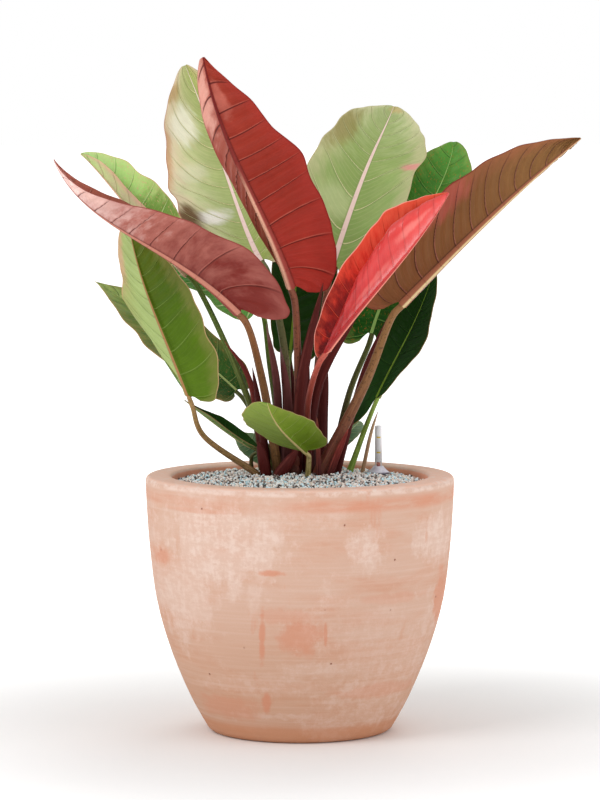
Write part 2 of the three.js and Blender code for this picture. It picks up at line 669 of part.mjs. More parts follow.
function build() {
  addMesh('pot', turned(potProfile(), potSides), 'terracotta');

  let substrate = toSolid(turned(substrateProfile(), toppingSides));
  let topping = toSolid(toppingGeometry());
  const cut = (place, radius, from) => {
    const cutter = holeCutter(place, radius, from);
    substrate = substrate.subtract(cutter);
    topping = topping.subtract(cutter);
  };
  const snug = 1 / Math.cos(Math.PI / holeSides);
  for (const leaf of Object.values(leaves)) {
    cut(leaf.petiole.foot, (leaf.petiole.radius + gap) * snug, stemFoot - gap);
  }
  for (const { foot, size } of Object.values(sheaths)) {
    cut(foot, (size[0] / 2 + gap) * snug, stemFoot - gap);
  }
  cut(crown.foot, (crown.radius * crown.footShare + gap) * snug, stemFoot - gap);
  cut([gaugeX, gaugeY], (gaugeStemRadius + gap) * snug, gaugeStemFoot - gap);
  addMesh('substrate', fromSolid(substrate), 'soil');
  addMesh('topping', fromSolid(topping), 'granulate');
  addMesh('crown', crownGeometry(), 'bark');

  for (const [name, geometry, finish] of [
    ['gauge_stem', gaugeStem(), 'grey'], ['gauge_collar', gaugeCollar(), 'grey'],
    ['gauge_tube', gaugeTube(), 'clear'], ['gauge_float', gaugeFloat(), 'red'],
  ]) {
    addMesh(name, geometry, finish).position.set(gaugeX, gaugeY, 0);
  }

  for (const [name, leaf] of Object.entries(leaves)) {
    addMesh(`blade_${name}`, bladeGeometry(leaf), leaf.finish);
    addMesh(`petiole_${name}`, petioleGeometry(leaf), leaf.petiole.finish);
  }
  for (const [name, sheath] of Object.entries(sheaths)) {
    addMesh(name, sheathGeometry(sheath), sheath.finish);
  }
}

build();

export default plant;
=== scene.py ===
import json
import math
import random

import bmesh
import bpy
from mathutils import Euler, Matrix, Vector, noise


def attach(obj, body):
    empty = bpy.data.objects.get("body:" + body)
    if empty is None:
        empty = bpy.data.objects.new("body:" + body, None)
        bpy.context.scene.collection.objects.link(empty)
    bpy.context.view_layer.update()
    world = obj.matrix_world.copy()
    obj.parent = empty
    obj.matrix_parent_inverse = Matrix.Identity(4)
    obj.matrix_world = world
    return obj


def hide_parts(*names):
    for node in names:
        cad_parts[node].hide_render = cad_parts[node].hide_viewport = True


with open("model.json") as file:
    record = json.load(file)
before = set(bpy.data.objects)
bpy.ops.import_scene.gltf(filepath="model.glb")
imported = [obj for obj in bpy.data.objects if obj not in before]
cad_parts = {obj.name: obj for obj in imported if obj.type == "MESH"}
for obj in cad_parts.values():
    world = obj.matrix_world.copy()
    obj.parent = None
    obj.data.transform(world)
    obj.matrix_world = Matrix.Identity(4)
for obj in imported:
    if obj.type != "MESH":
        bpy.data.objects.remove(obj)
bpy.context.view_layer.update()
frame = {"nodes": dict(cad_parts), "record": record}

# A philodendron in a clay planter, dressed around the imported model.
# Blender works in metres; leaf, stem and pot values here are in millimetres, as in the model.
mm = 0.001


def colour(red, green, blue):  # from the 0 to 255 of a screen
    shares = [value / 255 for value in (red, green, blue)]
    return tuple(s / 12.92 if s <= 0.04045 else ((s + 0.055) / 1.055) ** 2.4 for s in shares) + (1.0,)


def tinted(look):  # the same look with each screen colour, three whole numbers, turned into Blender's
    if isinstance(look, dict):
        return {key: tinted(value) for key, value in look.items()}
    if not isinstance(look, (list, tuple)):
        return look
    if len(look) == 3 and all(isinstance(value, int) for value in look):
        return colour(*look)
    return [tinted(value) for value in look]


class Wire:  # a socket that takes part in sums
    def __init__(self, paint, socket):
        self.paint = paint
        self.socket = socket

    def __add__(self, other):
        return self.paint.maths("ADD", self, other)

    def __radd__(self, other):
        return self.paint.maths("ADD", other, self)

    def __sub__(self, other):
        return self.paint.maths("SUBTRACT", self, other)

    def __rsub__(self, other):
        return self.paint.maths("SUBTRACT", other, self)

    def __mul__(self, other):
        return self.paint.maths("MULTIPLY", self, other)

    def __rmul__(self, other):
        return self.paint.maths("MULTIPLY", other, self)

    def __truediv__(self, other):
        return self.paint.maths("DIVIDE", self, other)

    def __pow__(self, other):
        return self.paint.maths("POWER", self, other)

    def __abs__(self):
        return self.paint.maths("ABSOLUTE", self)


class Paint:  # one material and its nodes
    def __init__(self, name, **uniform):
        self.material = bpy.data.materials.new(name)
        self.material.use_nodes = True
        self.tree = self.material.node_tree
        self.shader = self.tree.nodes["Principled BSDF"]
        self.base = None
        for key, value in uniform.items():
            self.shader.inputs[key.replace("_", " ")].default_value = value

    def feed(self, socket, value):
        if isinstance(value, Wire):
            self.tree.links.new(value.socket, socket)
        else:
            socket.default_value = value

    def node(self, kind, settings=None, sockets=None, output=0):
        made = self.tree.nodes.new(kind)
        for key, value in (settings or {}).items():
            if key == "stops":
                self.setStops(made.color_ramp, value)
            else:
                setattr(made, key, value)
        for key, value in (sockets or {}).items():
            self.feed(made.inputs[key], value)
        return Wire(self, made.outputs[output])

    def setStops(self, ramp, stops):
        while len(ramp.elements) < len(stops):
            ramp.elements.new(0.5)
        for element, (place, shade) in zip(ramp.elements, stops):
            element.position = place
            element.color = shade

    def maths(self, operation, *values):
        return self.node("ShaderNodeMath", {"operation": operation}, dict(enumerate(values)))

    def reach(self, x, y):  # how far (x, y) is from (0, 0)
        return self.maths("SQRT", x * x + y * y)

    def clamp(self, value):
        return self.node("ShaderNodeClamp", None, {0: value})

    def step(self, value, low, high):
        sockets = {"Value": value, "From Min": low, "From Max": high}
        return self.node("ShaderNodeMapRange", {"interpolation_type": "SMOOTHSTEP"}, sockets)

    def blend(self, factor, first, second, kind="MIX"):
        settings = {"data_type": "RGBA", "blend_type": kind}
        return self.node("ShaderNodeMix", settings, {0: factor, 6: first, 7: second}, 2)

    def noise(self, vector, scale, detail=2.0, rough=0.5):
        sockets = {"Vector": vector, "Scale": scale, "Detail": detail, "Roughness": rough}
        return self.node("ShaderNodeTexNoise", None, sockets)

    def place(self):
        return self.node("ShaderNodeTexCoord", None, None, "Object")

    def uv(self):
        return self.node("ShaderNodeUVMap", {"uv_map": "UVMap"})

    def split(self, vector):
        made = self.tree.nodes.new("ShaderNodeSeparateXYZ")
        self.feed(made.inputs[0], vector)
        return [Wire(self, socket) for socket in made.outputs]

    def join(self, x, y, z):
        return self.node("ShaderNodeCombineXYZ", None, {0: x, 1: y, 2: z})

    def ramp(self, factor, stops):
        return self.node("ShaderNodeValToRGB", {"stops": stops}, {0: factor})

    def layer(self, share, tone):  # another colour over the base
        self.base = self.blend(share, self.base, tone)

    def shade(self, level):  # the base darker below 1, lighter above
        self.base = self.blend(1.0, self.base, self.join(level, level, level), "MULTIPLY")

    def finish(self, rough=None, height=None, depth=0.0003):
        self.feed(self.shader.inputs["Base Color"], self.base)
        if rough is not None:
            self.feed(self.shader.inputs["Roughness"], rough)
        if height is not None:
            bump = self.node("ShaderNodeBump", None, {"Height": height, "Distance": depth})
            self.feed(self.shader.inputs["Normal"], bump)
        return self.material


slotNames = {row["node"]: row["material_slot"] for row in frame["record"]["subparts"]}


def newObject(name, data):
    made = bpy.data.objects.new(name, data)
    bpy.context.scene.collection.objects.link(made)
    return made


def newMesh(name, bm, materials):
    mesh = bpy.data.meshes.new(name)
    bm.to_mesh(mesh)
    bm.free()
    for material in materials:
        mesh.materials.append(material)
    return newObject(name, mesh)


def addPiece(name, bm, materials, slot, *nodes):
    piece = newMesh(name, bm, materials)
    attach(piece, "root")
    if nodes:
        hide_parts(*nodes)
    return piece


# A grid whose points are placed by a rule on (u, v), each from 0 to 1; wrapped, it is a closed tube
def mappedGrid(columns, rows, rule, wrap=False):
    bm = bmesh.new()
    uvLayer = bm.loops.layers.uv.new("UVMap")
    bmesh.ops.create_grid(bm, x_segments=columns, y_segments=rows, size=0.5)
    for face in bm.faces:
        face.smooth = True
        for loop in face.loops:
            loop[uvLayer].uv = (loop.vert.co.x + 0.5, loop.vert.co.y + 0.5)
    for vert in bm.verts:
        vert.co = rule(vert.co.x + 0.5, vert.co.y + 0.5)
    if wrap:
        bmesh.ops.remove_doubles(bm, verts=bm.verts, dist=1e-7)
        bmesh.ops.dissolve_degenerate(bm, edges=bm.edges, dist=1e-8)
        bmesh.ops.recalc_face_normals(bm, faces=bm.faces)
    return bm


# A closed line of (radius, height) points in mm, turned about an upright axis
def turnedShape(profile, turns, x=0, y=0):
    bm = bmesh.new()
    verts = [bm.verts.new((radius * mm, 0, height * mm)) for radius, height in profile]
    edges = [bm.edges.new(pair) for pair in zip(verts, verts[1:])]
    bmesh.ops.spin(bm, geom=verts + edges, cent=(0, 0, 0), axis=(0, 0, 1), angle=2 * math.pi, steps=turns,
                   use_merge=True)
    bmesh.ops.remove_doubles(bm, verts=bm.verts, dist=1e-6)
    bmesh.ops.recalc_face_normals(bm, faces=bm.faces)
    bmesh.ops.translate(bm, verts=bm.verts, vec=(x * mm, y * mm, 0))
    for face in bm.faces:
        face.smooth = True
    return bm


# Camera, floor and light
cameraView = {"distance": 3.6, "height": 0.627, "tiltDown": 4.63, "lens": 160.7, "sensor": 36.0}
studio = {
    "floor": colour(250, 250, 250), "floorSize": 60.0, "sky": 0.64, "seenSky": 1.0, "glow": 0.7,
    "glowFrom": 0.16, "glowTo": 0.95,
}
lamps = [
    {"name": "keyLight", "spot": (-2.3, -1.9, 2.4), "size": 1.8, "power": 41.0},
    {"name": "fillLight", "spot": (2.7, -1.3, 1.3), "size": 2.2, "power": 18.0},
    {"name": "backLight", "spot": (0.8, 2.4, 2.2), "size": 1.6, "power": 14.0},
]


def makeCamera(view):
    camera = newObject("camera", bpy.data.cameras.new("camera"))
    camera.data.lens = view["lens"]
    camera.data.sensor_width = view["sensor"]
    camera.location = (0, -view["distance"], view["height"])
    camera.rotation_euler = (math.radians(90 - view["tiltDown"]), 0, 0)
    bpy.context.scene.camera = camera


def makeStudio(setup):
    bm = bmesh.new()
    bmesh.ops.create_grid(bm, x_segments=1, y_segments=1, size=setup["floorSize"])
    paint = Paint("floorPaint", Roughness=0.9, Specular_IOR_Level=0.1, Emission_Strength=1.0)
    x, y, _ = paint.split(paint.place())
    # The floor glows, painted light that grows from glowFrom to glowTo away from the pot, so the far floor
    # reads white while the lamps' shading stays near the pot
    glow = setup["glow"] * paint.step(paint.reach(x, y), setup["glowFrom"], setup["glowTo"])
    paint.feed(paint.shader.inputs["Emission Color"], paint.join(glow, glow, glow))
    paint.base = setup["floor"]
    newMesh("floor", bm, [paint.finish()])

    world = bpy.data.worlds.new("studio")
    bpy.context.scene.world = world
    world.use_nodes = True
    nodes = world.node_tree.nodes
    links = world.node_tree.links
    seen = nodes.new("ShaderNodeLightPath").outputs["Is Camera Ray"]
    level = nodes.new("ShaderNodeMapRange")
    level.inputs["To Min"].default_value = setup["sky"]
    level.inputs["To Max"].default_value = setup["seenSky"]
    links.new(seen, level.inputs["Value"])
    nodes["Background"].inputs["Color"].default_value = (1, 1, 1, 1)
    links.new(level.outputs[0], nodes["Background"].inputs["Strength"])
    bpy.context.scene.view_settings.view_transform = "Standard"


def makeLamp(lamp, aim):
    light = bpy.data.lights.new(lamp["name"], "AREA")
    light.size = lamp["size"]
    light.energy = lamp["power"]
    made = newObject(lamp["name"], light)
    made.location = lamp["spot"]
    made.rotation_euler = (aim - made.location).to_track_quat("-Z", "Y").to_euler()


makeCamera(cameraView)
makeStudio(studio)
for lamp in lamps:
    makeLamp(lamp, Vector((0, 0, 0.35)))
print("camera, floor and light are set")


# Pot
pot = {
    "height": 260, "rimRadius": 156, "innerRadius": 129, "rimRound": 5, "footRadius": 90, "floor": 24,
    "outerWall": [(94, 4), (112, 37), (132, 86), (145.5, 135), (152.5, 190), (155.5, 236)],
    "innerWall": [(127, 220), (121, 140), (104, 76), (78, 34)],
    "footBevel": (4, 1), "turns": 192, "rows": 60, "unevenness": 0.35, "lumps": 9, "throwing": 0.16,
    "rings": 190, "ringsAround": 6, "evenFoot": 12, "evenMiddle": 10,
}
clay = {
    "body": (208, 171, 151), "warm": (204, 152, 126), "bloom": (229, 206, 194), "orange": (208, 138, 108),
    "inside": (240, 162, 130), "foot": (200, 134, 94), "low": (196, 147, 114), "rimTop": (234, 194, 174),
    "pit": (150, 84, 60),
}
clayShares = {  # how strongly each layer covers the ones below it
    "warm": 0.75, "low": 0.5, "lines": 0.18, "cloudBloom": 0.4, "bloom": 0.35, "chalk": 0.55,
    "cloudStain": 0.4, "stain": 0.8, "underRim": 0.7, "foot": 0.55, "rimTop": 0.85, "wear": 0.7,
    "inside": 0.85, "pit": 0.8,
}
# Marks on the front: across and up in mm from the middle of the foot, half the width and height, strength
clayBlooms = [
    (-76, 205, 66, 50, 0.8), (-40, 232, 90, 14, 0.4), (65, 203, 20, 27, 0.75), (131, 205, 24, 27, 0.7),
    (-116, 150, 34, 60, 0.6), (-30, 62, 70, 12, 0.35), (84, 90, 40, 60, 0.3), (30, 80, 50, 9, 0.4),
    (20, 30, 90, 4, 0.4), (-46, 150, 8, 30, 0.4),
]
clayStains = [
    (-1, 115, 26, 24, 0.7), (-37, 115, 4, 29, 0.9), (25, 115, 2, 16, 0.8), (-33, 47, 5, 15, 0.9),
    (-28, 178, 15, 4, 0.9), (142, 136, 9, 46, 0.8), (-70, 36, 34, 16, 0.5), (-138, 185, 14, 12, 0.7),
    (74, 54, 44, 9, 0.4), (-10, 134, 40, 10, 0.4), (-96, 236, 40, 3, 0.4), (90, 150, 40, 6, 0.3),
]


def splinePoints(points, count):  # a smooth line through (radius, height) points
    last = len(points) - 1
    made = []
    for step in range(count + 1):
        spot = last * step / count
        index = min(int(spot), last - 1)
        share = spot - index
        p0, p1, p2, p3 = (Vector(points[min(max(index + k, 0), last)]) for k in (-1, 0, 1, 2))
        pull0 = (p2 - p0) / 2
        pull1 = (p3 - p1) / 2
        cubic = (2 * p1 - 2 * p2 + pull0 + pull1) * share ** 3
        made.append(cubic + (-3 * p1 + 3 * p2 - 2 * pull0 - pull1) * share ** 2 + pull0 * share + p1)
    return made


def roundCorner(centre, radius, fromAngle, toAngle, steps=6):
    angles = [fromAngle + (toAngle - fromAngle) * k / steps for k in range(steps + 1)]
    return [Vector((centre[0] + radius * math.cos(a), centre[1] + radius * math.sin(a))) for a in angles]


def makePot(values):
    top = values["height"] - values["rimRound"]
    rim = values["rimRadius"]
    bore = values["innerRadius"]
    bend = values["rimRound"]
    foot = values["footRadius"]
    inward, up = values["footBevel"]
    profile = [(0, 0), (foot - inward, 0), (foot, up)]
    profile += splinePoints(values["outerWall"] + [(rim, top)], values["rows"])
    profile += roundCorner((rim - bend, top), bend, 0, math.pi / 2)
    profile += roundCorner((bore + bend, top), bend, math.pi / 2, math.pi)
    profile += splinePoints([(bore, top)] + values["innerWall"], values["rows"] // 2)[1:]
    profile.append((0, values["floor"]))
    bm = turnedShape(profile, values["turns"])
    stretch = Vector((values["ringsAround"], values["ringsAround"], values["rings"]))
    for vert in bm.verts:
        outward = Vector((vert.co.x, vert.co.y, 0))
        if outward.length < values["evenMiddle"] * mm:
            continue
        wobble = values["unevenness"] * noise.noise(vert.co * values["lumps"])
        ring = values["throwing"] * noise.noise(vert.co * stretch)
        wall = min(1, max(0, vert.co.z / (values["evenFoot"] * mm)))
        vert.co += outward.normalized() * (wobble + ring) * mm * wall
    return addPiece("clayPot", bm, [clayPaint(values)], "terracotta", "pot")


def clayMark(paint, x, y, z, ragged, mark):  # its strength inside a ragged oval on the front, 0 elsewhere
    across, up, wide, high, share = mark
    awayX = (x - across * mm) / (wide * mm)
    awayZ = (z - up * mm) / (high * mm)
    away = paint.reach(awayX, awayZ)
    return paint.step(away + ragged, 1.1, 0.5) * paint.step(y, 0.0, -0.02) * share


def clayPaint(values):
    tones = tinted(clay)
    shares = clayShares
    paint = Paint("clayPaint", Roughness=0.9, Specular_IOR_Level=0.2)
    place = paint.place()
    x, y, z = paint.split(place)
    radius = paint.reach(x, y)
    height = z / (values["height"] * mm)
    cloud = paint.noise(place, 7.0, 4.0, 0.55)
    smear = paint.noise(paint.join(x * 0.7, y * 0.7, z * 2.4), 14.0, 6.0, 0.62)
    lines = paint.noise(paint.join(x * 0.25, y * 0.25, z * 9.0), 30.0, 4.0, 0.62)
    brush = paint.noise(paint.join(x * 2.4, y * 2.4, z * 0.7), 20.0, 5.0, 0.66)
    crust = paint.noise(place, 60.0, 7.0, 0.72)
    wisps = paint.noise(paint.join(x * 2.6, y * 2.6, z * 0.9), 60.0, 7.0, 0.72)
    scratch = paint.noise(paint.join(x * 1.2 + z * 2.2, y, z * 2.2 - x), 70.0, 5.0, 0.7)
    grain = paint.noise(place, 1100.0, 2.0, 0.6)

    warmth = shares["warm"] * paint.step(smear + 0.5 * (cloud - 0.5), 0.44, 0.7)
    paint.base = paint.blend(warmth, tones["body"], tones["warm"])
    paint.layer(shares["low"] * paint.step(height + 0.3 * (cloud - 0.5), 0.6, 0.15), tones["low"])
    paint.layer(shares["lines"] * paint.step(lines, 0.4, 0.75), tones["bloom"])
    ragged = 2.2 * (crust - 0.5) + 1.8 * (brush - 0.5)
    bloom = shares["cloudBloom"] * paint.step(cloud + 0.5 * (crust - 0.5), 0.52, 0.66)
    for mark in clayBlooms:
        bloom = paint.maths("MAXIMUM", bloom, clayMark(paint, x, y, z, ragged, mark))
    chalk = paint.step(0.5 * wisps + 0.5 * scratch + 0.3 * (crust - 0.5), 0.43, 0.6)
    paint.layer(bloom * (shares["bloom"] + shares["chalk"] * chalk), tones["bloom"])
    torn = 1.6 * (smear - 0.5) + 1.6 * (crust - 0.5)
    stain = shares["cloudStain"] * paint.step(brush, 0.6, 0.72) * paint.step(cloud, 0.56, 0.46)
    for mark in clayStains:
        stain = paint.maths("MAXIMUM", stain, clayMark(paint, x, y, z, torn, mark))
    paint.layer(shares["stain"] * stain, tones["orange"])
    underRim = paint.step(height, 0.9, 0.93) * paint.step(height, 0.975, 0.945)
    underRim = underRim * (0.35 + 0.65 * paint.step(x, -0.05, 0.05)) * paint.step(smear, 0.3, 0.52)
    paint.layer(shares["underRim"] * underRim, tones["orange"])
    footBand = paint.step(height + 0.04 * (smear - 0.5), 0.085, 0.05)
    paint.layer(shares["foot"] * footBand, tones["foot"])
    rimTop = paint.step(height, 0.986, 0.996)
    paint.layer(shares["rimTop"] * rimTop, tones["rimTop"])
    wear = paint.step(height, 0.968, 0.98) * paint.step(height, 0.996, 0.99)
    wear = wear * paint.step(crust, 0.6, 0.42) + rimTop * paint.step(scratch, 0.5, 0.64)
    paint.layer(shares["wear"] * wear, tones["bloom"])
    inside = paint.step(radius, (values["innerRadius"] + 1.5) * mm, (values["innerRadius"] + 0.2) * mm)
    inside = inside * paint.step(height, 1.0, 0.985) * paint.step(height, 0.8, 0.85)
    paint.layer(shares["inside"] * inside, tones["inside"])
    cell = paint.node("ShaderNodeTexVoronoi", {"feature": "F1"}, {"Vector": place, "Scale": 62.0})
    chance = paint.noise(place, 23.0, 0.0)
    pits = paint.step(cell, 0.085, 0.04) * paint.step(chance, 0.57, 0.6)
    paint.layer(shares["pit"] * pits, tones["pit"])
    paint.shade(0.94 + 0.12 * grain)
    relief = 0.5 * lines + 0.25 * smear + 0.3 * crust + 0.15 * grain - 1.5 * pits
    return paint.finish(None, relief, 0.0006)


makePot(pot)
print("pot is made")


# Fill
fill = {
    "top": 251, "mound": 10, "ripple": 0.8, "rippleX": 9, "rippleY": 8, "reach": 127.6, "spacing": 2.9,
    "stray": 0.9, "bedLift": (-0.9, 0.5), "loose": 1100, "looseLift": (1.2, 2.2), "gap": 1.2,
    "size": (1.05, 1.8), "wide": (0.8, 1.25), "flat": (0.65, 1.0), "chip": (0.78, 1.12),
    # The dark tone, reach and width at the back paint shade on the grains along the back wall
    "toneBias": 1.15, "toneTop": 0.92, "backGapShadeTone": (0.85, 1.0), "backGapShadeFrom": 96, "backGapShadeWidth": 62,
    "seed": 11,
}
# Grain tones from light to dark; the darkest stand partly for dark grains and partly, as painted shade, for
# the gaps between grains
grainTones = [
    (0.0, (196, 240, 252)), (0.22, (255, 255, 255)), (0.5, (255, 242, 228)), (0.66, (240, 222, 212)),
    (0.74, (158, 134, 126)), (0.82, (60, 44, 42)), (1.0, (14, 10, 10)),
]


def fillHeight(x, y):
    reach = math.hypot(x, y) / pot["innerRadius"]
    ripple = fill["ripple"] * math.sin(x / fill["rippleX"]) * math.cos(y / fill["rippleY"])
    return fill["top"] + fill["mound"] * (1 - reach * reach) + ripple


def grainPaint():
    paint = Paint("grainPaint", Roughness=0.75, Specular_IOR_Level=0.4)
    tone = paint.split(paint.uv())[0]
    speck = paint.noise(paint.place(), 700.0, 3.0, 0.6)
    paint.base = paint.ramp(tone, tinted(grainTones))
    specks = paint.ramp(speck, tinted([(0.35, (130, 108, 98)), (0.6, (255, 255, 250))]))
    paint.layer(0.1, specks)
    return paint.finish(None, speck, 0.0004)


def soilPaint(name, dark, light):
    paint = Paint(name, Roughness=0.95)
    crumbs = paint.noise(paint.place(), 320.0, 4.0, 0.7)
    paint.base = paint.ramp(crumbs, [(0.35, dark), (0.7, light)])
    return paint.finish(None, crumbs, 0.002)


def placeGrains(values, keepClear):
    draw = random.Random(values["seed"])
    spots = []
    rowGap = values["spacing"] * math.sqrt(0.75)
    rows = int(values["reach"] / rowGap)
    stray = values["stray"]
    for row in range(-rows, rows + 1):
        for column in range(-rows, rows + 1):
            x = (column + 0.5 * (row % 2)) * values["spacing"] + draw.uniform(-stray, stray)
            y = row * rowGap + draw.uniform(-stray, stray)
            spots.append((x, y, draw.uniform(*values["bedLift"])))
    for _ in range(values["loose"]):
        angle = draw.uniform(0, 2 * math.pi)
        reach = values["reach"] * math.sqrt(draw.random())
        lift = draw.uniform(*values["looseLift"])
        spots.append((reach * math.cos(angle), reach * math.sin(angle), lift))
    kept = []
    for x, y, lift in spots:
        if math.hypot(x, y) > values["reach"] - 1:
            continue
        if any(math.hypot(x - cx, y - cy) < radius + values["gap"] for cx, cy, radius in keepClear):
            continue
        kept.append((x, y, lift))
    return kept, draw


def makeGrains(values, keepClear):
    spots, draw = placeGrains(values, keepClear)
    seedBall = bmesh.new()
    bmesh.ops.create_icosphere(seedBall, subdivisions=1, radius=1.0)
    uvLayer = seedBall.loops.layers.uv.new("UVMap")
    grain = bpy.data.meshes.new("grain")
    seedBall.to_mesh(grain)
    seedBall.free()
    corners = [vert.co.copy() for vert in grain.vertices]
    loopCount = len(grain.loops)
    bm = bmesh.new()
    for x, y, lift in spots:
        size = draw.uniform(*values["size"])
        wide = size * draw.uniform(*values["wide"])
        stretch = Matrix.Diagonal((wide, size, size * draw.uniform(*values["flat"])))
        turn = Euler([draw.uniform(0, 6.3) for _ in range(3)]).to_matrix() @ stretch
        centre = Vector((x, y, fillHeight(x, y) + lift))
        moved = []
        for corner in corners:
            moved.extend((centre + turn @ (corner * draw.uniform(*values["chip"]))) * mm)
        grain.vertices.foreach_set("co", moved)
        tone = draw.random() ** values["toneBias"] * values["toneTop"]
        # Grains near the back wall take dark tones: painted shade for the dark gap along the back wall
        if y > values["backGapShadeFrom"] and abs(x) < values["backGapShadeWidth"]:
            tone = draw.uniform(*values["backGapShadeTone"])
        grain.uv_layers[0].data.foreach_set("uv", [tone, 0.5] * loopCount)
        bm.from_mesh(grain)
    bpy.data.meshes.remove(grain)
    return addPiece("granulateGrains", bm, [grainPaint()], "granulate")


# Leaves, as in the model: the midrib; the way the upper side looks; for each half its width, fold, curl,
# lobe, belly and the bluntness of its ends; dents (half, place, depth, spread); height and number of the
# waves; relief between the veins, their number and lean; the looks of both sides; the stalk's foot, a point
# on its way, its radius and looks. A key that a leaf leaves out is in leafDefaults
firstTurn = 0.2
lastTurn = 0.13
ribShare = 0.1
bladeShape = {
    "ribLag": 0.2, "twistPower": 1.5, "ribSweep": 1.4, "halfPhase": 2, "keel": 1.5, "keelWide": 0.85,
    "upperKeel": 0.12, "thickness": 1.0, "edgeThickness": 0.6, "wavyMargin": 0.04, "sectionSteps": 48,
    "wavyCounts": (9, 21), "wavyShares": (0.6, 0.4), "wavyShift": 2.1, "columns": 26, "rows": 170,
    "smallColumns": 14, "smallRows": 60, "ribEnd": 0.3, "ribMost": 3, "quilt": 0.8, "quiltRise": 5,
    "quiltFall": 4, "grooveWide": 0.05, "grooveFade": 0.6, "reliefWidth": 55, "footFade": 12, "tipFade": 10,
}
leafDefaults = {
    "curl": (0, 0), "belly": (1.25, 1.25), "basePoint": (1, 1), "point": (2, 2), "dents": (), "wave": 3,
    "waves": 3, "relief": 1.0, "rib": 2.8, "veins": 8, "lean": 0.05, "small": False,
}
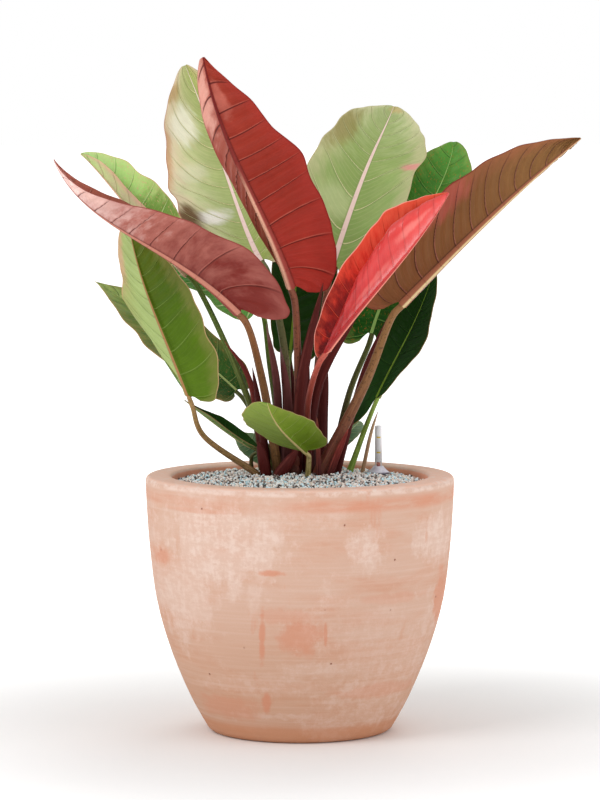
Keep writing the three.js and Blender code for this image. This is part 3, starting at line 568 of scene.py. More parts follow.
leaves = {
    "tallRed": {
        "midrib": [(-8, -60, 452), (-36, -85, 521), (-69, -98, 594), (-95, -92, 681)],
        "face": (0.5, 0.85, 0.1), "halfWidth": (64, 44), "fold": (42, 52), "foldTip": (42, 18),
        "curl": (6, 8), "lobe": (28, 28), "belly": (1.25, 1.8), "point": (2, 1),
        "dents": ((0, 0.72, 5, 0.05), (0, 0.46, 3, 0.05), (0, 0.29, 4, 0.04), (1, 0.6, 6, 0.2)),
        "wave": 2.5, "relief": 2.4, "rib": 3.6, "veins": 10, "lean": -0.03, "looks": ("redTop", "redUnder"),
        "foot": (-3, 13), "via": (-2, -14, 362), "radius": 5, "stem": "brownStem",
    },
    "leftRed": {
        "midrib": [(-61, -80, 429), (-132, -115, 488), (-195, -140, 529), (-238, -150, 582)],
        "face": (0.3, 0.75, 0.6), "faceTip": (0.5, -0.5, 0.7), "twist": 0.8, "halfWidth": (52, 42),
        "fold": (45, 42), "lobe": (46, 34), "belly": (1.9, 1.9), "point": (2.4, 2.4),
        "dents": ((0, 0.5, 6, 0.09),), "wave": 2, "relief": 2, "rib": 3.6, "veins": 10, "lean": -0.04,
        "looks": ("roseTop", "roseUnder"), "foot": (-22, -4), "via": (-38, -28, 358), "radius": 5,
        "stem": "tanStem",
    },
    "paleLeft": {
        "midrib": [(-39, 20, 474), (-60, 60, 519), (-84, 110, 583), (-121, 165, 676)],
        "face": (-0.3, -0.85, 0.4), "halfWidth": (61, 54), "fold": (12, 14), "curl": (-6, -8),
        "lobe": (14, 26), "belly": (0.9, 1.1), "basePoint": (1.5, 1), "point": (1.3, 1.6),
        "dents": ((0, 0.5, 3, 0.05), (0, 0.28, 5, 0.06), (1, 0.75, 3, 0.05)), "relief": 0.7, "rib": 3.6,
        "veins": 10, "lean": 0.23, "looks": ("paleLeftTop", "paleUnder"), "foot": (-12, 25),
        "via": (-16, 30, 384), "radius": 5, "stem": "oliveStem",
    },
    "paleRight": {
        "midrib": [(33, 30, 470), (64, 115, 554), (84, 165, 598), (100, 210, 632)],
        "face": (0, -0.85, 0.5), "halfWidth": (57, 56), "fold": (12, 12), "curl": (-8, -8),
        "lobe": (34, 34), "point": (1.3, 1.3), "dents": ((0, 0.7, 4, 0.06), (1, 0.5, 5, 0.06)),
        "relief": 0.7, "rib": 3.6, "lean": 0.17, "looks": ("paleRightTop", "paleUnder"), "foot": (12, 36),
        "via": (19, 42, 373), "radius": 5, "stem": "brownStem",
    },
    "backRight": {
        "midrib": [(74, 88, 397), (107, 118, 474), (143, 148, 540), (162, 172, 595)],
        "face": (-0.2, -0.85, 0.5), "halfWidth": (48, 46), "fold": (14, 16), "lobe": (30, 22),
        "point": (1.3, 1.3), "rib": 3, "veins": 9, "looks": ("freshTop", "greenUnder"), "foot": (32, 27),
        "via": (51, 56, 339), "radius": 4, "stem": "darkStem",
    },
    "rightBrown": {
        "midrib": [(101, -35, 434), (163, -60, 498), (221, -85, 554), (275, -105, 601)],
        "face": (-0.3, 0.75, 0.6), "halfWidth": (53, 50), "fold": (45, 45), "lobe": (34, 42), "wave": 2.5,
        "waves": 4, "relief": 2.2, "rib": 3.6, "veins": 12, "lean": 0.15,
        "looks": ("brownTop", "brownUnder"), "foot": (20, -8), "via": (66, -7, 353), "radius": 7,
        "stem": "ridgeStem",
    },
    "newRed": {
        "midrib": [(22, -82, 386), (63, -97, 439), (106, -112, 491), (145, -120, 548)],
        "face": (-0.75, -0.35, 0.5), "halfWidth": (44, 52), "fold": (55, 35), "curl": (0, 210),
        "lobe": (32, 6), "belly": (0.7, 0.5), "basePoint": (1.8, 1.6), "point": (1.8, 2.2), "wave": 1,
        "waves": 2, "relief": 0.35, "rib": 3, "veins": 10, "columns": 34, "looks": ("newTop", "newUnder"),
        "foot": (9, -5), "via": (8, -44, 335), "radius": 4, "stem": "roseStem",
    },
    "leftLight": {
        "midrib": [(-112, -22, 463), (-151, -8, 506), (-191, 8, 553), (-222, 18, 584)],
        "face": (0.2, -0.75, 0.6), "halfWidth": (18, 40), "fold": (95, 16), "curl": (30, 0),
        "lobe": (16, 20), "dents": ((1, 0.68, 6, 0.06), (1, 0.4, 4, 0.05)),
        "looks": ("lightTop", "lightUnder"), "foot": (-26, 25), "via": (-71, 6, 382), "radius": 4,
        "stem": "greenStem",
    },
    "leftGreen": {
        "midrib": [(-109, -75, 344), (-136, -72, 411), (-157, -60, 465), (-172, -45, 527)],
        "face": (0.5, 0.87, 0), "halfWidth": (42, 38), "fold": (20, 20), "curl": (10, 10), "lobe": (18, 2),
        "belly": (1.45, 0.8), "basePoint": (1, 2.4), "point": (2, 1.3),
        "dents": ((1, 0.62, 5, 0.06), (0, 0.4, 3, 0.05)), "rib": 2.6, "veins": 9,
        "looks": ("greenTop", "leftGreenUnder"), "foot": (-44, -9), "via": (-97, -44, 304), "radius": 3.6,
        "stem": "edgeStem",
    },
    "backLeft": {
        "midrib": [(-46, 2, 434), (-78, 26, 455), (-113, 52, 477), (-148, 78, 498)],
        "face": (0.2, -0.7, 0.66), "halfWidth": (48, 34), "fold": (12, 12), "lobe": (26, 4),
        "dents": ((0, 0.42, 8, 0.09),), "looks": ("veinedTop", "greenUnder"), "foot": (-15, 42),
        "via": (-30, 38, 363), "radius": 4, "stem": "greenStem",
    },
    "rightDark": {
        "midrib": [(78, 25, 335), (101, 45, 379), (122, 55, 421), (140, 60, 472)],
        "face": (-0.65, -0.7, 0.2), "halfWidth": (27, 35), "fold": (18, 18), "lobe": (46, 0),
        "basePoint": (1.3, 1.8), "wave": 2.5, "rib": 2.4, "looks": ("darkTop", "greenUnder"),
        "foot": (51, 28), "via": (66, 32, 302), "radius": 3.4, "stem": "limeStem",
    },
    "smallRight": {
        "midrib": [(44, 45, 290), (50, 54, 297), (57, 64, 303), (63, 74, 307)],
        "face": (-0.2, -0.9, 0.4), "halfWidth": (13, 13), "fold": (20, 20), "lobe": (8, 8), "wave": 1,
        "waves": 2, "rib": 1.8, "veins": 5, "small": True, "looks": ("greyTop", "greyTop"),
        "foot": (34, 41), "via": (37, 46, 276), "radius": 2.6, "stem": "limeStem",
    },
    "frontOlive": {
        "midrib": [(5, -45, 288), (-10, -72, 304), (-23, -98, 321), (-32, -125, 343)],
        "face": (0, 0.57, 0.82), "halfWidth": (29, 36), "fold": (14, 14), "curl": (8, 8), "lobe": (12, 6),
        "belly": (1.7, 0.75), "point": (1.7, 0.9), "wave": 1.5, "waves": 2, "rib": 2.4, "veins": 6,
        "small": True, "looks": ("greenTop", "oliveUnder"), "foot": (8, -27), "via": (9, -32, 279),
        "radius": 3, "stem": "creamStem",
    },
    "leftDark": {
        "midrib": [(-65, 35, 342), (-112, 60, 381), (-165, 84, 420), (-213, 100, 451)],
        "face": (0.1, -0.7, 0.7), "halfWidth": (42, 31), "fold": (18, 18), "lobe": (16, 14),
        "point": (3, 2.8), "dents": ((0, 0.64, 7, 0.07),), "wave": 2.5, "rib": 2.4,
        "looks": ("leftDarkTop", "greenUnder"), "foot": (-39, 28), "via": (-48, 33, 316), "radius": 3.2,
        "stem": "darkStem",
    },
    "smallLeft": {
        "midrib": [(-48, -12, 289), (-72, -10, 304), (-95, -8, 320), (-117, -5, 336)],
        "face": (0.5, -0.3, 0.8), "halfWidth": (8, 10), "fold": (35, 35), "lobe": (8, 8), "point": (2, 3.5),
        "wave": 1, "waves": 2, "rib": 1.8, "veins": 7, "small": True, "looks": ("darkTop", "greenUnder"),
        "foot": (-49, 4), "via": (-49, -2, 278), "radius": 2.4, "stem": "darkStem",
    },
    "smallBack": {
        "midrib": [(-35, 44, 272), (-46, 47, 281), (-57, 50, 289), (-67, 54, 296)],
        "face": (0.3, -0.9, 0.3), "halfWidth": (14, 14), "fold": (16, 16), "lobe": (6, 6), "wave": 1,
        "waves": 2, "rib": 1.8, "veins": 5, "small": True, "looks": ("greyTop", "greyTop"),
        "foot": (-30, 50), "via": (-32, 47, 268), "radius": 2.4, "stem": "darkStem",
    },
    "backCentre": {
        "midrib": [(-10, 70, 381), (-5, 118, 440), (-2, 165, 501), (2, 204, 543)],
        "face": (0, -0.75, 0.66), "halfWidth": (27, 46), "fold": (16, 16), "lobe": (14, 24), "veins": 9,
        "looks": ("darkTop", "greenUnder"), "foot": (0, 49), "via": (-4, 58, 331), "radius": 4,
        "stem": "greenStem",
    },
}
leaves = {name: {**leafDefaults, **leaf} for name, leaf in leaves.items()}

# Leaf faces, in screen colours: foot, middle and tip; colour and strength on the left half, partly the
# half's own tone and partly painted light and shade on a folded half; the inner part and the margin; edge,
# veins and midrib, with a painted shadow line beside each raised vein; patches (across, along, half the
# width and length, colour, strength), with across from -1 to 1 and along from 0 at the foot to 1. A key
# that a look leaves out is in lookDefaults
lookDefaults = {
    "seenBelow": False, "veinShare": 0.8, "darkShare": 0.6, "fineShare": 0.1, "veinWide": 1.0,
    "ribWide": 0.6, "stripeAt": 0, "stripeWide": 0.5, "shine": 0.12, "coat": 0.0, "patches": (),
}
leafLooks = {
    "redUnder": {
        "seenBelow": True, "along": ((160, 46, 36), (144, 43, 30), (152, 54, 40)),
        "left": ((182, 104, 88), 0.5), "margin": ((150, 40, 34), 0.4), "edge": (120, 26, 26),
        "vein": (190, 98, 82), "veinDark": (84, 20, 18), "veinShare": 0.55, "darkShare": 0.9,
        "fineShare": 0.05, "rib": (150, 62, 54), "ribTip": (110, 30, 28), "ribWide": 0.8,
        "stripe": (226, 168, 142), "stripeTo": 0.5, "stripeAt": 0.2, "rough": 0.42,
        "patches": [
            (0.7, 0.88, 0.6, 0.2, (226, 168, 152), 0.75), (-0.3, 0.84, 0.3, 0.1, (206, 120, 104), 0.5),
        ],
    },
    "redTop": {
        "along": ((120, 24, 16), (158, 56, 36), (170, 84, 56)), "margin": ((150, 60, 40), 0.3),
        "edge": (130, 40, 30), "vein": (214, 120, 90), "veinDark": (110, 30, 20), "rib": (224, 150, 120),
        "rough": 0.34,
    },
    "roseUnder": {
        "along": ((118, 42, 36), (166, 99, 88), (240, 206, 198)), "margin": ((184, 112, 102), 0.3),
        "edge": (132, 58, 52), "vein": (180, 106, 94), "veinDark": (84, 36, 34), "veinShare": 0.45,
        "darkShare": 0.85, "fineShare": 0.05, "rib": (138, 66, 58), "ribWide": 0.5,
        "stripe": (190, 124, 106), "stripeTo": 1.2, "stripeAt": -0.5, "rough": 0.44,
        "patches": [
            (0.7, 0.72, 0.5, 0.12, (220, 176, 164), 0.6), (-0.7, 0.72, 0.5, 0.12, (220, 176, 164), 0.6),
        ],
    },
    "roseTop": {
        "along": ((120, 50, 40), (150, 78, 58), (168, 92, 78)), "margin": ((160, 90, 70), 0.4),
        "edge": (140, 70, 60), "vein": (200, 140, 120), "veinDark": (110, 50, 40), "rib": (214, 160, 140),
        "rough": 0.36,
    },
    "paleLeftTop": {
        "along": ((176, 186, 112), (204, 212, 154), (188, 178, 118)), "left": ((212, 214, 176), 0.35),
        "inner": ((138, 164, 74), 0.6), "margin": ((218, 196, 168), 0.75), "edge": (184, 134, 110),
        "vein": (236, 226, 170), "veinDark": (146, 162, 90), "fineShare": 0.14, "rib": (248, 218, 210),
        "ribWide": 0.75, "rough": 0.42,
        "patches": [
            (-0.5, 0.36, 0.4, 0.06, (244, 240, 232), 0.9), (-0.88, 0.37, 0.3, 0.09, (104, 74, 44), 0.95),
            (-0.6, 0.8, 0.4, 0.1, (240, 236, 214), 0.75), (-0.6, 0.6, 0.35, 0.06, (224, 220, 190), 0.5),
            (-0.95, 0.92, 0.4, 0.05, (176, 140, 84), 0.7), (-1, 0.68, 0.16, 0.2, (190, 140, 96), 0.7),
        ],
    },
    "paleRightTop": {
        "along": ((150, 178, 104), (158, 178, 108), (196, 204, 150)), "left": ((144, 156, 96), 0.3),
        "inner": ((132, 160, 78), 0.4), "margin": ((208, 200, 156), 0.6), "edge": (196, 184, 140),
        "vein": (230, 226, 172), "veinDark": (124, 146, 78), "fineShare": 0.12, "rib": (246, 216, 204),
        "ribWide": 0.75, "rough": 0.42,
        "patches": [
            (-0.85, 0.6, 0.4, 0.26, (146, 132, 74), 0.75), (0.9, 0.42, 0.3, 0.035, (236, 150, 148), 0.8),
            (0.3, 0.97, 0.8, 0.06, (206, 178, 118), 0.7), (-0.4, 0.2, 0.5, 0.1, (206, 214, 160), 0.5),
        ],
    },
    "paleUnder": {
        "along": ((160, 130, 100), (172, 160, 116), (180, 160, 120)), "margin": ((176, 130, 110), 0.5),
        "edge": (170, 120, 100), "vein": (200, 160, 130), "veinDark": (140, 110, 80),
        "rib": (220, 180, 160), "rough": 0.46,
    },
    "freshTop": {
        "along": ((30, 84, 22), (58, 120, 40), (90, 150, 60)), "margin": ((140, 166, 84), 0.45),
        "edge": (140, 120, 70), "vein": (120, 170, 84), "veinDark": (26, 70, 20), "rib": (164, 206, 116),
        "rough": 0.34, "fleck": (176, 112, 50),
    },
    "brownUnder": {
        "along": ((118, 75, 43), (120, 80, 45), (130, 92, 51)), "margin": ((150, 84, 60), 0.5),
        "edge": (112, 34, 32), "vein": (176, 110, 96), "veinDark": (66, 34, 26), "veinShare": 0.45,
        "darkShare": 0.85, "fineShare": 0.08, "rib": (150, 92, 66), "ribWide": 0.8,
        "stripe": (216, 190, 142), "stripeTo": 1.2, "stripeWide": 0.22, "rough": 0.4,
        "patches": [
            (0.85, 0.35, 0.3, 0.16, (176, 84, 76), 0.6), (-0.85, 0.35, 0.3, 0.16, (176, 84, 76), 0.6),
        ],
    },
    "brownTop": {
        "along": ((96, 110, 50), (126, 122, 62), (140, 110, 70)), "margin": ((150, 96, 66), 0.4),
        "edge": (130, 60, 50), "vein": (170, 160, 100), "veinDark": (80, 90, 40), "rib": (210, 180, 140),
        "rough": 0.36,
    },
    # The dark foot colour and the dark patch low down: partly the leaf's own deep red, partly painted shade
    # inside the roll
    "newTop": {
        "along": ((84, 0, 2), (200, 34, 18), (224, 80, 54)), "margin": ((226, 96, 70), 0.3),
        "edge": (244, 168, 152), "vein": (222, 80, 56), "veinDark": (160, 24, 16), "veinShare": 0.5,
        "darkShare": 0.25, "fineShare": 0.04, "rib": (214, 90, 70), "rough": 0.3,
        "patches": [(0, 0.25, 1.5, 0.2, (104, 3, 4), 0.8)],
    },
    "newUnder": {
        "along": ((158, 22, 24), (204, 48, 48), (222, 70, 66)), "margin": ((226, 92, 84), 0.25),
        "edge": (246, 190, 178), "vein": (184, 40, 40), "veinDark": (160, 38, 38), "veinShare": 0.12,
        "darkShare": 0.14, "fineShare": 0.02, "rib": (232, 140, 120), "rough": 0.3, "shine": 0.25,
        "coat": 0.35,
        "patches": [
            # The first two patches are painted highlights on the rolled tube
            (0.44, 0.42, 0.08, 0.2, (232, 126, 118), 0.4), (0.6, 0.74, 0.1, 0.16, (240, 140, 130), 0.5),
            (0.5, 0.1, 0.6, 0.1, (150, 18, 20), 0.6),
        ],
    },
    "lightTop": {
        "along": ((150, 186, 88), (172, 214, 116), (188, 222, 144)), "margin": ((206, 206, 136), 0.4),
        "edge": (220, 170, 140), "vein": (214, 230, 160), "veinDark": (110, 160, 66),
        "rib": (204, 226, 150), "rough": 0.38, "fleck": (224, 168, 134),
        "patches": [(0.5, 0.34, 0.8, 0.2, (106, 142, 54), 0.75)],
    },
    "lightUnder": {
        "along": ((160, 160, 110), (176, 160, 126), (170, 190, 120)), "margin": ((206, 150, 130), 0.6),
        "edge": (214, 150, 130), "vein": (200, 170, 140), "veinDark": (140, 140, 90),
        "rib": (200, 160, 130), "rough": 0.45,
    },
    "leftGreenUnder": {
        "seenBelow": True, "along": ((79, 108, 14), (69, 96, 10), (84, 98, 22)),
        "left": ((165, 181, 115), 0.85), "margin": ((150, 140, 84), 0.35), "edge": (190, 150, 112),
        "vein": (134, 158, 78), "veinDark": (70, 92, 26), "veinShare": 0.4, "darkShare": 0.2,
        "fineShare": 0.05, "rib": (160, 116, 74), "ribWide": 0.22, "rough": 0.42,
        "patches": [(1, 0.7, 0.3, 0.4, (196, 150, 122), 0.7), (-0.75, 0.85, 0.4, 0.1, (112, 84, 44), 0.5)],
    },
    "greenTop": {
        "along": ((60, 104, 34), (76, 120, 42), (90, 124, 50)), "margin": ((110, 130, 60), 0.3),
        "edge": (150, 120, 80), "vein": (140, 170, 90), "veinDark": (50, 86, 28), "rib": (170, 190, 110),
        "rough": 0.34,
    },
    "greenUnder": {
        "along": ((84, 112, 60), (104, 130, 72), (116, 136, 80)), "margin": ((130, 130, 84), 0.3),
        "edge": (150, 120, 86), "vein": (150, 164, 104), "veinDark": (76, 100, 50), "rib": (168, 160, 108),
        "rough": 0.5,
    },
    "veinedTop": {
        "along": ((96, 168, 70), (66, 138, 48), (60, 124, 44)), "margin": ((120, 170, 80), 0.35),
        "edge": (140, 160, 90), "vein": (226, 238, 172), "veinDark": (46, 110, 36), "fineShare": 0.16,
        "veinWide": 2.0, "rib": (236, 242, 190), "rough": 0.34,
    },
    "darkTop": {
        # The lighter foot colour is a painted sheen low on the blade
        "along": ((34, 70, 24), (20, 54, 8), (18, 48, 4)), "margin": ((40, 66, 14), 0.3),
        "edge": (160, 130, 84), "vein": (50, 88, 30), "veinDark": (12, 32, 4), "veinShare": 0.5,
        "darkShare": 0.3, "fineShare": 0.05, "rib": (118, 150, 50), "rough": 0.34, "shine": 0.08,
    },
    "leftDarkTop": {
        "along": ((50, 92, 40), (74, 112, 46), (152, 172, 96)), "margin": ((150, 140, 84), 0.5),
        "edge": (196, 156, 108), "vein": (150, 170, 100), "veinDark": (36, 66, 24), "rib": (180, 196, 124),
        "rough": 0.36, "fleck": (180, 130, 76),
    },
    "greyTop": {
        "along": ((86, 124, 84), (104, 140, 104), (140, 164, 120)), "margin": ((140, 164, 120), 0.4),
        "edge": (180, 160, 120), "vein": (170, 190, 140), "veinDark": (60, 96, 56), "rib": (180, 200, 150),
        "rough": 0.4,
    },
    "oliveUnder": {
        "seenBelow": True, "along": ((92, 116, 18), (106, 134, 34), (128, 148, 56)),
        "left": ((138, 160, 80), 0.65), "margin": ((146, 158, 84), 0.25), "edge": (196, 168, 120),
        "vein": (150, 168, 88), "veinDark": (94, 116, 40), "veinShare": 0.5, "darkShare": 0.25,
        "fineShare": 0.05, "rib": (204, 184, 128), "ribWide": 0.42, "rough": 0.4,
    },
}


# The painted shadow line beside each vein sits to one side of it, shifted by the given mm
veinPattern = {
    "leanPower": 1.5, "wobble": 0.1, "wobbles": 11, "halfShift": 0.38, "width": 0.85, "thinning": 0.45,
    "veinShadowShift": 1.1, "finePerMain": 6,
}


def nodeName(name):  # tallRed is tall_red in the model
    return "".join("_" + letter.lower() if letter.isupper() else letter for letter in name)


# Counts the main veins: whole numbers lie on a vein. It works on plain numbers and on wires
def veinOrder(along, outward, side, leaf, sine):
    lean = leaf["lean"] * outward ** veinPattern["leanPower"]
    wobble = veinPattern["wobble"] * sine(along * veinPattern["wobbles"] + outward * 2)
    return (along - lean) * leaf["veins"] + veinPattern["halfShift"] * side + wobble


def leafPaint(name, look, leaf, seed):
    paint = Paint(name, Coat_Weight=look["coat"], Coat_Roughness=0.18, Specular_IOR_Level=look["shine"])
    x, along, _ = paint.split(paint.uv())
    across = x * 2 - 1
    side = paint.maths("GREATER_THAN", across, 0)
    outward = paint.maths("MAXIMUM", (abs(across) - ribShare) / (1 - ribShare), 0)
    order = veinOrder(along, outward, side, leaf, lambda value: paint.maths("SINE", value))
    spacing = RibCurve(leaf["midrib"]).length / leaf["veins"]
    thickness = veinPattern["width"] - veinPattern["thinning"] * outward
    veinWidth = thickness * (look["veinWide"] / spacing)
    fade = 1 - 0.7 * paint.step(outward, 0.7, 1.0)
    # The light line along each vein: the vein's own paler colour, and on the undersides also a painted
    # highlight on the raised vein
    vein = paint.step(paint.maths("PINGPONG", order, 0.5) / veinWidth, 1.0, 0.3) * fade
    # A dark line just to one side of each vein: painted shadow of the raised vein
    veinShadowOrder = order + veinPattern["veinShadowShift"] / spacing
    shade = paint.step(paint.maths("PINGPONG", veinShadowOrder, 0.5) / veinWidth, 1.5, 0.2) * fade
    fineOrder = order * veinPattern["finePerMain"] + 0.3 * paint.maths("SINE", order * 3.1)
    fineVein = paint.step(paint.maths("PINGPONG", fineOrder, 0.5), 0.16, 0.02) * (1 - 0.5 * outward)

    streaks = paint.noise(paint.join(order * 1.3, outward * 1.2, side * 5 + seed), 2.2, 4.0, 0.6)
    clouds = paint.noise(paint.place(), 22.0 + seed, 4.0, 0.6)
    fibre = paint.noise(paint.join(order * 11, outward * 2.2, side * 3 + seed), 3.0, 3.0, 0.6)

    foot, middle, tip = look["along"]
    paint.base = paint.ramp(along + 0.7 * (streaks - 0.5), [(0.04, foot), (0.42, middle), (0.94, tip)])
    # The left half's tone: partly the half's own colour, partly painted light and shade on a folded half
    if "left" in look:
        tone, share = look["left"]
        leftHalf = side if look["seenBelow"] else 1 - side
        paint.layer(leftHalf * share, tone)
    if "inner" in look:
        tone, share = look["inner"]
        paint.layer(paint.step(outward + 0.9 * (streaks - 0.5), 0.75, 0.05) * share, tone)
    tone, share = look["margin"]
    paint.layer(paint.step(outward + 0.7 * (streaks - 0.5), 0.5, 1.0) * share, tone)
    for patch in look["patches"]:
        addPatch(paint, across, along, streaks, patch)
    if "fleck" in look:
        fleck = paint.noise(paint.join(order * 2.2, outward * 6, side * 7 + seed), 3.0, 3.0, 0.6)
        paint.layer(0.75 * paint.step(fleck, 0.57, 0.68), look["fleck"])
    paint.shade(0.66 + 0.4 * clouds + 0.28 * fibre)
    paint.layer(look["fineShare"] * fineVein, look["vein"])
    # Painted vein shadows first, then the light vein lines over them
    paint.layer(look["darkShare"] * shade, look["veinDark"])
    paint.layer(look["veinShare"] * vein, look["vein"])
    addMidrib(paint, across, along, streaks, look)
    paint.layer(0.75 * paint.step(outward, 0.965, 0.99), look["edge"])

    rough = paint.clamp(look["rough"] + 0.2 * (streaks - 0.5) + 0.08 * fineVein)
    relief = 0.7 * vein - 0.5 * shade + 0.25 * fineVein + 0.25 * fibre + 0.15 * clouds
    return paint.finish(rough, relief, 0.0004)


def addPatch(paint, across, along, streaks, patch):
    centreAcross, centreAlong, wide, long, tone, share = patch
    awayAcross = (across - centreAcross) / wide
    awayAlong = (along - centreAlong) / long
    away = paint.reach(awayAcross, awayAlong)
    paint.layer(paint.step(away + 1.1 * (streaks - 0.5), 1.0, 0.35) * share, tone)


def addMidrib(paint, across, along, streaks, look):
    ribReach = ribShare * look["ribWide"]
    ribSpan = abs(across) / ribReach
    # A darker outline along both sides of the raised midrib: painted shade, in the vein shadow colour
    paint.layer(0.65 * paint.step(ribSpan, 1.7, 1.0), look["veinDark"])
    tones = [(0.25, look["rib"]), (0.8, look.get("ribTip", look["rib"]))]
    ribTone = paint.ramp(along + 0.2 * (streaks - 0.5), tones)
    paint.layer(paint.step(ribSpan, 1.15, 0.9), ribTone)
    if "stripe" in look:
        lineAway = abs(across / ribReach - look["stripeAt"])
        line = paint.step(lineAway, look["stripeWide"], 0.5 * look["stripeWide"])
        line = line * paint.step(along, look["stripeTo"] + 0.1, look["stripeTo"] - 0.1)
        paint.layer(line, look["stripe"])


# The cubic curve that passes a third and two thirds of the way through the inner points
class RibCurve:
    def __init__(self, points):
        a, b, c, d = (Vector(p) for p in points)
        first = (-5 * a + 18 * b - 9 * c + 2 * d) / 6
        second = (2 * a - 9 * b + 18 * c - 5 * d) / 6
        self.handles = (a, first, second, d)
        steps = [self.point(k / 200) for k in range(201)]
        self.length = sum((q - p).length for p, q in zip(steps, steps[1:]))

    def point(self, t):
        a, b, c, d = self.handles
        s = 1 - t
        return s ** 3 * a + 3 * s * s * t * b + 3 * s * t * t * c + t ** 3 * d

    def tangent(self, t):
        a, b, c, d = self.handles
        s = 1 - t
        return (3 * s * s * (b - a) + 6 * s * t * (c - b) + 3 * t * t * (d - c)).normalized()


def outline(leaf, half, length, turn):
    along = (1 - math.cos(turn)) / 2
    ribPlace = along ** (leaf["belly"][0] + bladeShape["ribLag"])
    if turn < math.pi / 2:
        taper = leaf["basePoint"][half]
        lobe = leaf["lobe"][half] * math.sin(2 * turn)
    else:
        taper = leaf["point"][half]
        lobe = 0
    width = leaf["halfWidth"][half] * math.sin(turn) ** taper
    for side, place, depth, spread in leaf["dents"]:
        if side == half:
            width -= depth * math.sin(turn) * math.exp(-((along - place) / spread) ** 2)
    phase = leaf["midrib"][0][0] + bladeShape["wavyShift"] * half
    wavy = 0
    for index, (count, share) in enumerate(zip(bladeShape["wavyCounts"], bladeShape["wavyShares"])):
        wavy += share * math.sin(count * turn + (index + 1) * phase)
    width *= 1 + bladeShape["wavyMargin"] * wavy
    return ribPlace, width, length * (along ** leaf["belly"][half] - ribPlace) - lobe


def bladeFrame(leaf, curve, share):
    tangent = curve.tangent(share)
    up = Vector(leaf["face"])
    if "faceTip" in leaf:
        up = up.lerp(Vector(leaf["faceTip"]), share ** leaf.get("twist", bladeShape["twistPower"]))
    up = (up - up.dot(tangent) * tangent).normalized()
    return curve.point(share), tangent, up, tangent.cross(up)


def halfSection(width, fold, curl):  # running (across, up) from the midrib to the margin
    steps = bladeShape["sectionSteps"]
    places = [(0.0, 0.0)]
    for k in range(steps):
        angle = math.radians(fold + curl * ((k + 0.5) / steps) ** 2)
        across, up = places[-1]
        places.append((across + width / steps * math.cos(angle), up + width / steps * math.sin(angle)))
    return places


def along(places, stop):
    spot = stop * (len(places) - 1)
    index = min(int(spot), len(places) - 2)
    share = spot - index
    return [a + (b - a) * share for a, b in zip(places[index], places[index + 1])]


# The middle surface of a blade as rows of points, with each row's place along the midrib
def bladeRows(leaf, columns, rows):
    curve = RibCurve(leaf["midrib"])
    grid = []
    for i in range(rows + 1):
        turn = firstTurn + (math.pi - lastTurn - firstTurn) * i / rows
        row = []
        for half in (0, 1):
            share, width, sweep = outline(leaf, half, curve.length, turn)
            centre, tangent, up, side = bladeFrame(leaf, curve, share)
            rib = min(leaf["rib"] * (1 - share) + bladeShape["ribEnd"], width / bladeShape["ribMost"])
            fold = leaf["fold"][half]
            fold += (leaf.get("foldTip", leaf["fold"])[half] - fold) * share
            section = halfSection(width, fold, leaf["curl"][half])
            points = []
            for j in range(columns + 1):
                outer = max(0, (j / columns - ribShare) / (1 - ribShare))
                inner = min(1, j / columns / ribShare)
                stop = (rib * inner + (width - rib) * outer) / width
                across, lift = along(section, stop)
                ripple = leaf["wave"] * outer ** 2 * width / leaf["halfWidth"][half]
                ripple *= math.sin(leaf["waves"] * 2 * turn + half * bladeShape["halfPhase"])
                point = centre + (across if half else -across) * side + (lift + ripple) * up
                points.append(point + sweep * outer ** bladeShape["ribSweep"] * tangent)
            row = points[:0:-1] if half == 0 else row + points
        grid.append({"points": row, "share": share, "rib": rib})
    return grid


def veinRelief(leaf, share, outer, half):  # how far the blade bulges to its upper side
    if outer <= 0:
        return 0.0
    order = veinOrder(share, outer, half, leaf, math.sin)
    near = abs(order - round(order))
    strength = leaf["relief"] * leaf["halfWidth"][half] / bladeShape["reliefWidth"]
    groove = math.exp(-(near / bladeShape["grooveWide"]) ** 2) * (1 - outer) ** bladeShape["grooveFade"]
    quilt = bladeShape["quilt"] * math.sin(math.pi * 2 * near)
    quilt *= min(1, outer * bladeShape["quiltRise"]) * min(1, (1 - outer) * bladeShape["quiltFall"])
    return strength * (quilt - groove)


def makeBlade(name, leaf, seed):
    columns = leaf.get("columns", bladeShape["smallColumns" if leaf["small"] else "columns"])
    rows = bladeShape["smallRows" if leaf["small"] else "rows"]
    grid = bladeRows(leaf, columns, rows)
    total = 2 * columns
    bm = bmesh.new()
    uvLayer = bm.loops.layers.uv.new("UVMap")
    bmesh.ops.create_grid(bm, x_segments=total, y_segments=rows, size=0.5)
    lifted = bmesh.ops.extrude_face_region(bm, geom=bm.faces[:])["geom"]
    upper = {item for item in lifted if isinstance(item, bmesh.types.BMVert)}
    walls = {face for face in bm.faces if len({vert in upper for vert in face.verts}) == 2}
    for edge in bm.edges:
        isLevel = len({vert in upper for vert in edge.verts}) == 1
        edge.smooth = not (isLevel and any(face in walls for face in edge.link_faces))
    for face in bm.faces:
        face.smooth = True
        face.material_index = 0 if any(vert in upper for vert in face.verts) else 1
        for loop in face.loops:
            i = round((loop.vert.co.y + 0.5) * rows)
            loop[uvLayer].uv = (loop.vert.co.x + 0.5, grid[i]["share"])
    for vert in bm.verts:
        i = round((vert.co.y + 0.5) * rows)
        j = round((vert.co.x + 0.5) * total)
        vert.co = bladePoint(leaf, grid, i, j, columns, vert in upper)
    bmesh.ops.recalc_face_normals(bm, faces=bm.faces)
    materials = []
    for face, key in zip(("Top", "Under"), leaf["looks"]):
        materials.append(leafPaint(name + face, tinted({**lookDefaults, **leafLooks[key]}), leaf, seed))
    node = "blade_" + nodeName(name)
    return addPiece(name + "Blade", bm, materials, slotNames[node], node)


